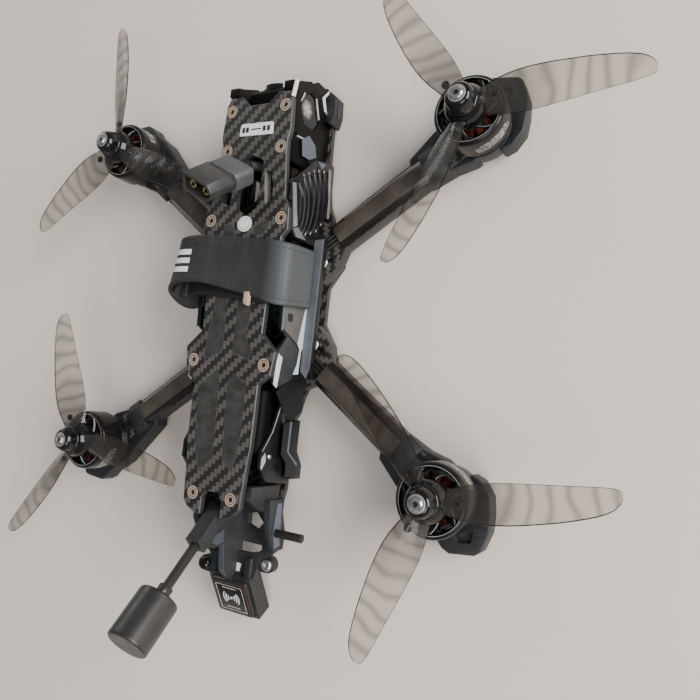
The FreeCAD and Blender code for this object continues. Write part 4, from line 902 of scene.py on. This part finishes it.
# white chevrons, the low bright strip and the white top facet on the cage's chamfers: painted glints
both("cage_chevron", joined(facet([(-99.0, 9.4), (-98.4, 8.6), (-93.4, 13.0), (-92.7, 15.0)], CAGE),
    facet([(-92.7, 15.0), (-93.4, 13.0), (-88.0, 10.7), (-87.4, 12.0)], CAGE)), "white")
both("cage_chevron_low", facet([(-87.4, 12.0), (-88.6, 9.6), (-87.4, 4.9), (-85.8, 6.4)], CAGE), "trim")
both("cage_top_facet", facet([(-91.4, 34.3), (-90.6, 36.9), (-82.8, 38.3), (-83.4, 35.8)], CAGE - 0.05),
     "white")
octagon = [(-90.2, 24), (-86.3, 29.6), (-80.2, 29.6), (-75.8, 25.8), (-76.1, 18.7), (-80.6, 15.6),
    (-85.9, 15.6), (-89.7, 19.2)]
both("cage_window", facet(octagon, CAGE - 1.1, 0.35), "window", "lens_glass")
# bright lines round the window and bright ribs: painted glints
both("cage_window_line", joined(
    facet([(-89.9, 20.0), (-90.3, 19.0), (-82.4, 15.3), (-81.6, 16.3)], CAGE - 0.15, 0.2),
    facet([(-84.2, 30.4), (-83.6, 31.2), (-88.6, 29.0), (-88.2, 28.2)], CAGE - 0.15, 0.2)), "trim")
both("cage_rib", joined(*(facet([(-72.6 + k, 20.0), (-71.8 + k, 20.0), (-70.4 + k, 30), (-71.2 + k, 30)],
    15.7, 0.5) for k in (0, 1.9))), "trim", bevel=0.1)
# blue-grey facet: painted sky reflection
both("cage_glass", facet([(-68.7, 27.0), (-72.2, 21.9), (-69.9, 16.3), (-65.2, 14.4), (-62.2, 19.8),
    (-61.8, 25.5)], CAGE - 0.1, 0.2), "sky")
both("louvre_wedge", facet([(-61.5, 14.6), (-58.0, 17.7), (-60.5, 21.3)], PANEL), "bar")
# pale strip along the louvre's top edge: painted highlight
both("louvre_strip", facet([(-45.4, 38.2), (-45.8, 36.0), (-29.0, 32.2), (-27.8, 34.4)], PANEL, 0.2, 0.1),
    "collar")
both("louvre_end", facet([(-27.4, 34.4), (-28.6, 31.2), (-24.6, 25.2), (-24.3, 31.6)], PANEL, 0.2, 0.1),
     "bar")
# pale strip along the louvre's lower edge: painted highlight
both("louvre_low", facet([(-60.4, 9.9), (-60.6, 11.9), (-38.9, 8.9), (-39.4, 7.2)], PANEL, 0.3), "collar")
FINS = ([(-47.0, 33.4), (-41.0, 29.8), (-33.0, 29.2), (-27.0, 30.4)],
    [(-52.0, 31.0), (-43.5, 27.0), (-34, 26.2), (-26, 27.6)],
    [(-54.0, 27.4), (-45, 23.4), (-36, 22.6), (-26.5, 24.4)],
    [(-56.5, 23.6), (-47, 19.6), (-37, 18.6), (-28, 20.6)],
    [(-58.0, 19.8), (-48, 15.8), (-39, 14.8), (-30, 16.6)],
    [(-59.0, 15.6), (-50, 12.4), (-42, 11.6), (-34, 13.2)])
both("louvre_fins", joined(*(swept(points, PANEL, 0.75, 1.5) for points in FINS)), "fin", smooth=30)
# bluish and pale strips on the chamfers: painted highlights
both("rear_strip_a", facet([(3.0, 34.8), (3.0, 33.2), (12.2, 32.0), (14.0, 32.4), (15.2, 34.2)],
                            PANEL + 0.1, 0.15), "sky")
both("rear_strip_b", facet([(3.2, 18.0), (3.2, 14.9), (19.6, 16.8), (21.9, 17.9), (31.5, 18.2), (31.9, 22.1),
    (27.6, 19.9), (21.1, 19.0), (18.8, 21.2)], PANEL + 0.05, 0.2), "pale", smooth=0)
both("rear_strip_c", facet([(24.2, 34.9), (25.7, 31.7), (38.3, 33.2), (37.0, 35.4)], PANEL, 0.2, 0.12),
     "pale")
both("rear_face", facet([(3.0, 33.0), (3.0, 18.4), (19.0, 21.3), (14.3, 31.8), (12.2, 31.6)],
                        PANEL + 0.07, 0.12), "face")
# dark patch over the port: painted shade
both("rear_port", facet([(7.3, 30.6), (7.1, 27.0), (10.4, 26.8), (10.6, 30.4)], PANEL + 0.1, 0.16), "dark")
both("rear_block", facet([(16.6, 29.2), (20.4, 21.4), (21.4, 19.4), (27.6, 20.1), (31.9, 22.3), (34.0, 22.4),
    (38.0, 32.8), (25.7, 31.5), (24.0, 34.5)], PANEL + 0.07, 0.12), "slate")
both("bracket_face", facet([(52.6, 26.6), (65.1, 26.2), (68.6, 22.0), (74.6, 21.4), (74.4, 14.4),
    (70.0, 13.6), (64.0, 21.8), (50.9, 20.6)], BRACKET, 0.2), "panel")
both("rear_block_low", facet([(39.9, 33.1), (34.6, 24.0), (33.6, 13.2), (39.0, 12.0), (47.0, 12.0),
    (50.6, 18.1), (51.3, 21.5), (49.7, 24.2)], PANEL, 0.5), "panel", bevel=0.15)
# bright outline and small bright facet: painted glints
both("backing_line", joined(*(rod_between((-20.7, *a), (-20.7, *b), 0.15, 8) for a, b in (
    ((42.6, 25.2), (47.3, 26.3)), ((47.3, 26.3), (56.3, 29.7)), ((56.3, 29.7), (64.0, 35.2))))), "trim")
both("backing_facet", facet([(64.6, 33.4), (66.7, 35.2), (71.0, 35.2), (71.3, 34.6), (67.8, 32.4)], 20.6,
    0.3), "trim")
both("backing_screw", turned(lathe([(0, 0), (1.1, 0), (1.1, 0.5), (0.8, 0.8), (0.4, 0.8), (0.4, 0.4),
    (0, 0.4)], n=24), Matrix.Translation((-20.6, 66.2, 30.4))
    @ Matrix.Rotation(math.radians(-90), 4, "Y")), "steel", "bare_steel")
both("side_bar", mirrored(prism([(22.3, -27.0), (26.8, -27.4), (26.9, 29.0), (25.4, 33.0), (22.3, 30.0)],
    16.7, 17.1)), "bar", bevel=0.15)
# lighter strips along the bracket's edges: painted highlights
both("bracket_edge", joined(
    facet([(51.6, 22.0), (51.4, 20.9), (64.0, 21.0), (64.0, 22.1)], BRACKET + 0.1, 0.3),
    facet([(64.0, 22.1), (64.0, 21.0), (69.3, 13.2), (70.2, 13.9)], BRACKET + 0.1, 0.3)), "bar")


# ---- tail mount: painted reflections on its corners and facets
# a black dome covers the head of the left ear's screw; the right one stays bright
EAR_DOME = [(0, 17.2), (2.75, 17.2), (2.75, 17.5), (2.2, 18.1), (1.2, 18.5), (0.7, 18.6), (0.6, 18.1),
    (0, 18.1)]
mesh_piece("mount_screw_black", *lathe(EAR_DOME, 16.2, 118.2, 32), "gloss", slot="black_screw")
# bluish facets and the bluish ridge below on the black print: painted reflections
for tag, x0, x1 in (("right", -2.0, -1.68), ("left", 1.68, 2.0)):
    mesh_piece("mount_web_facet_" + tag, *side_prism([(98.6, 29.2), (101.4, 36.6), (103.4, 36.2),
            (104.9, 33.0), (104.1, 28.6)], x0, x1), "tpu_blue", slot="printed_dark")
mesh_piece("mount_web_ridge", *stack([[(-1.5, y, z - 0.3), (1.5, y, z - 0.3), (1.2, y, z + 0.12),
    (-1.2, y, z + 0.12)] for y, z in ((105.2, 27.4), (108.0, 26.95), (112.0, 26.3), (116.1, 25.7),
    (118.6, 23.0), (121.0, 20.3))]), "tpu_blue", slot="printed_dark")
mesh_piece("mount_deck_chip", *prism([(-1.9, 114.1), (-4.2, 114.3), (-3.6, 117.6), (-1.9, 117.8)],
    DECK - 0.05, DECK + 0.06), "white", slot="printed_dark")
# blue-grey facet on the cheek: painted sky reflection
mesh_piece("mount_cheek_facet", *side_prism([(86.0, 19.6), (86.0, 16.4), (104.0, 14.8), (104.6, 18.6),
    (98.4, 20.6)], -20.62, -20.38), "sky", slot="printed_dark")

# ---- positioning module print
gps = Matrix.Translation((0, 130.0, 15.9)) @ Matrix.Rotation(math.radians(-31.0), 4, "X")
prints = [block(*sides, 0.0, 0.06) for sides in ((-6.7, 6.7, 6.75, 6.88), (-6.7, 6.7, -6.88, -6.75),
    (-6.83, -6.7, -6.75, 6.75), (6.7, 6.83, -6.75, 6.75))]
for side_sign in (-1, 1):
    for radius in (1.7, 2.9, 4.1):
        arc = []
        for i in range(9):
            a = math.radians(-42 + 84 * i / 8)
            c, s = side_sign * math.cos(a), math.sin(a)
            near, far = radius - 0.27, radius + 0.27
            arc.append([(c * r, s * r, z) for r, z in ((near, 0), (far, 0), (far, 0.06), (near, 0.06))])
        prints.append(stack(arc))
prints.append(lathe([(0, 0), (0.7, 0), (0.7, 0.06), (0, 0.06)], n=24))
prints += [block(-3.4 + i * 1.2, -2.6 + i * 1.2, y, y + 0.35, 0, 0.05) for i in range(6) for y in (-5.6, 5.1)]
mesh_piece("gps_print", *turned(joined(*prints), gps), "white", slot="label_film")
rim = joined(block(-8.3, 8.3, -8.2, -7.65, -0.5, -0.06), block(-8.45, -7.95, -8.2, 7.8, -0.5, -0.06),
             block(7.95, 8.45, -8.2, 7.8, -0.5, -0.06))
mesh_piece("gps_rim", *turned(rim, gps), "red", slot="label_film")

# ---- small electronics
dice = random.Random(7)
chips, ends = [], []
for z, half_x, half_y, count in ((24.82, 16.0, 16.0, 60), (17.62, 16.5, 18.5, 50)):
    for _ in range(count):
        x, y = dice.uniform(-half_x, half_x), dice.uniform(-half_y, half_y)
        if abs(abs(x) - 15.25) < 3.4 and abs(abs(y) - 15.25) < 3.4:
            continue
        w, d = dice.choice(((0.5, 0.3), (0.8, 0.45), (0.3, 0.5), (1.1, 0.8)))
        chips.append(block(x - w, x + w, y - d, y + d, z, z + 0.55))
        ends += [block(x - w - 0.12, x - w, y - d, y + d, z, z + 0.5),
                block(x + w, x + w + 0.12, y - d, y + d, z, z + 0.5)]
mesh_piece("board_parts", *joined(*chips), "chip", slot="circuit", smooth=0)
mesh_piece("board_solder", *joined(*ends), "solder", slot="bare_steel", smooth=0)

# ---- floor and light
floor_mat = Shader("floor", (0.79, 0.72, 0.65), 0.6)
floor_mat.bump(floor_mat.noise(3.0, 4.0), 0.05)
ground = bpy.data.meshes.new("floor")
ground.from_pydata([(-3, -3, 0), (3, -3, 0), (3, 3, 0), (-3, 3, 0)], [], [(0, 1, 2, 3)])
ground.materials.append(floor_mat.material)
floor = bpy.data.objects.new("floor", ground)
floor.location.z = -0.0002
scene.collection.objects.link(floor)


def area(name, location, target, size_x, size_y, power, colour=(1, 1, 1)):
    light = bpy.data.lights.new(name, "AREA")
    light.shape = "RECTANGLE"
    light.size, light.size_y = size_x, size_y
    light.energy = power
    light.color = colour
    lamp = bpy.data.objects.new(name, light)
    scene.collection.objects.link(lamp)
    lamp.location = location
    lamp.rotation_euler = (Vector(target) - Vector(location)).to_track_quat("-Z", "Y").to_euler()


area("window", (-1.7, -0.3, 0.95), (0, 0, 0), 1.5, 1.0, 62, (1.0, 0.985, 0.96))
area("high_side", (-0.8, 0.9, 1.3), (0, 0, 0), 0.9, 0.9, 14, (1.0, 0.97, 0.93))
area("far_fill", (1.3, -1.2, 0.6), (0, 0, 0), 0.9, 0.5, 5, (0.95, 0.97, 1.0))
world = bpy.data.worlds.new("studio")
world.use_nodes = True
world.node_tree.nodes["Background"].inputs[0].default_value = (0.95, 0.96, 1.0, 1)
world.node_tree.nodes["Background"].inputs[1].default_value = 0.28
scene.world = world
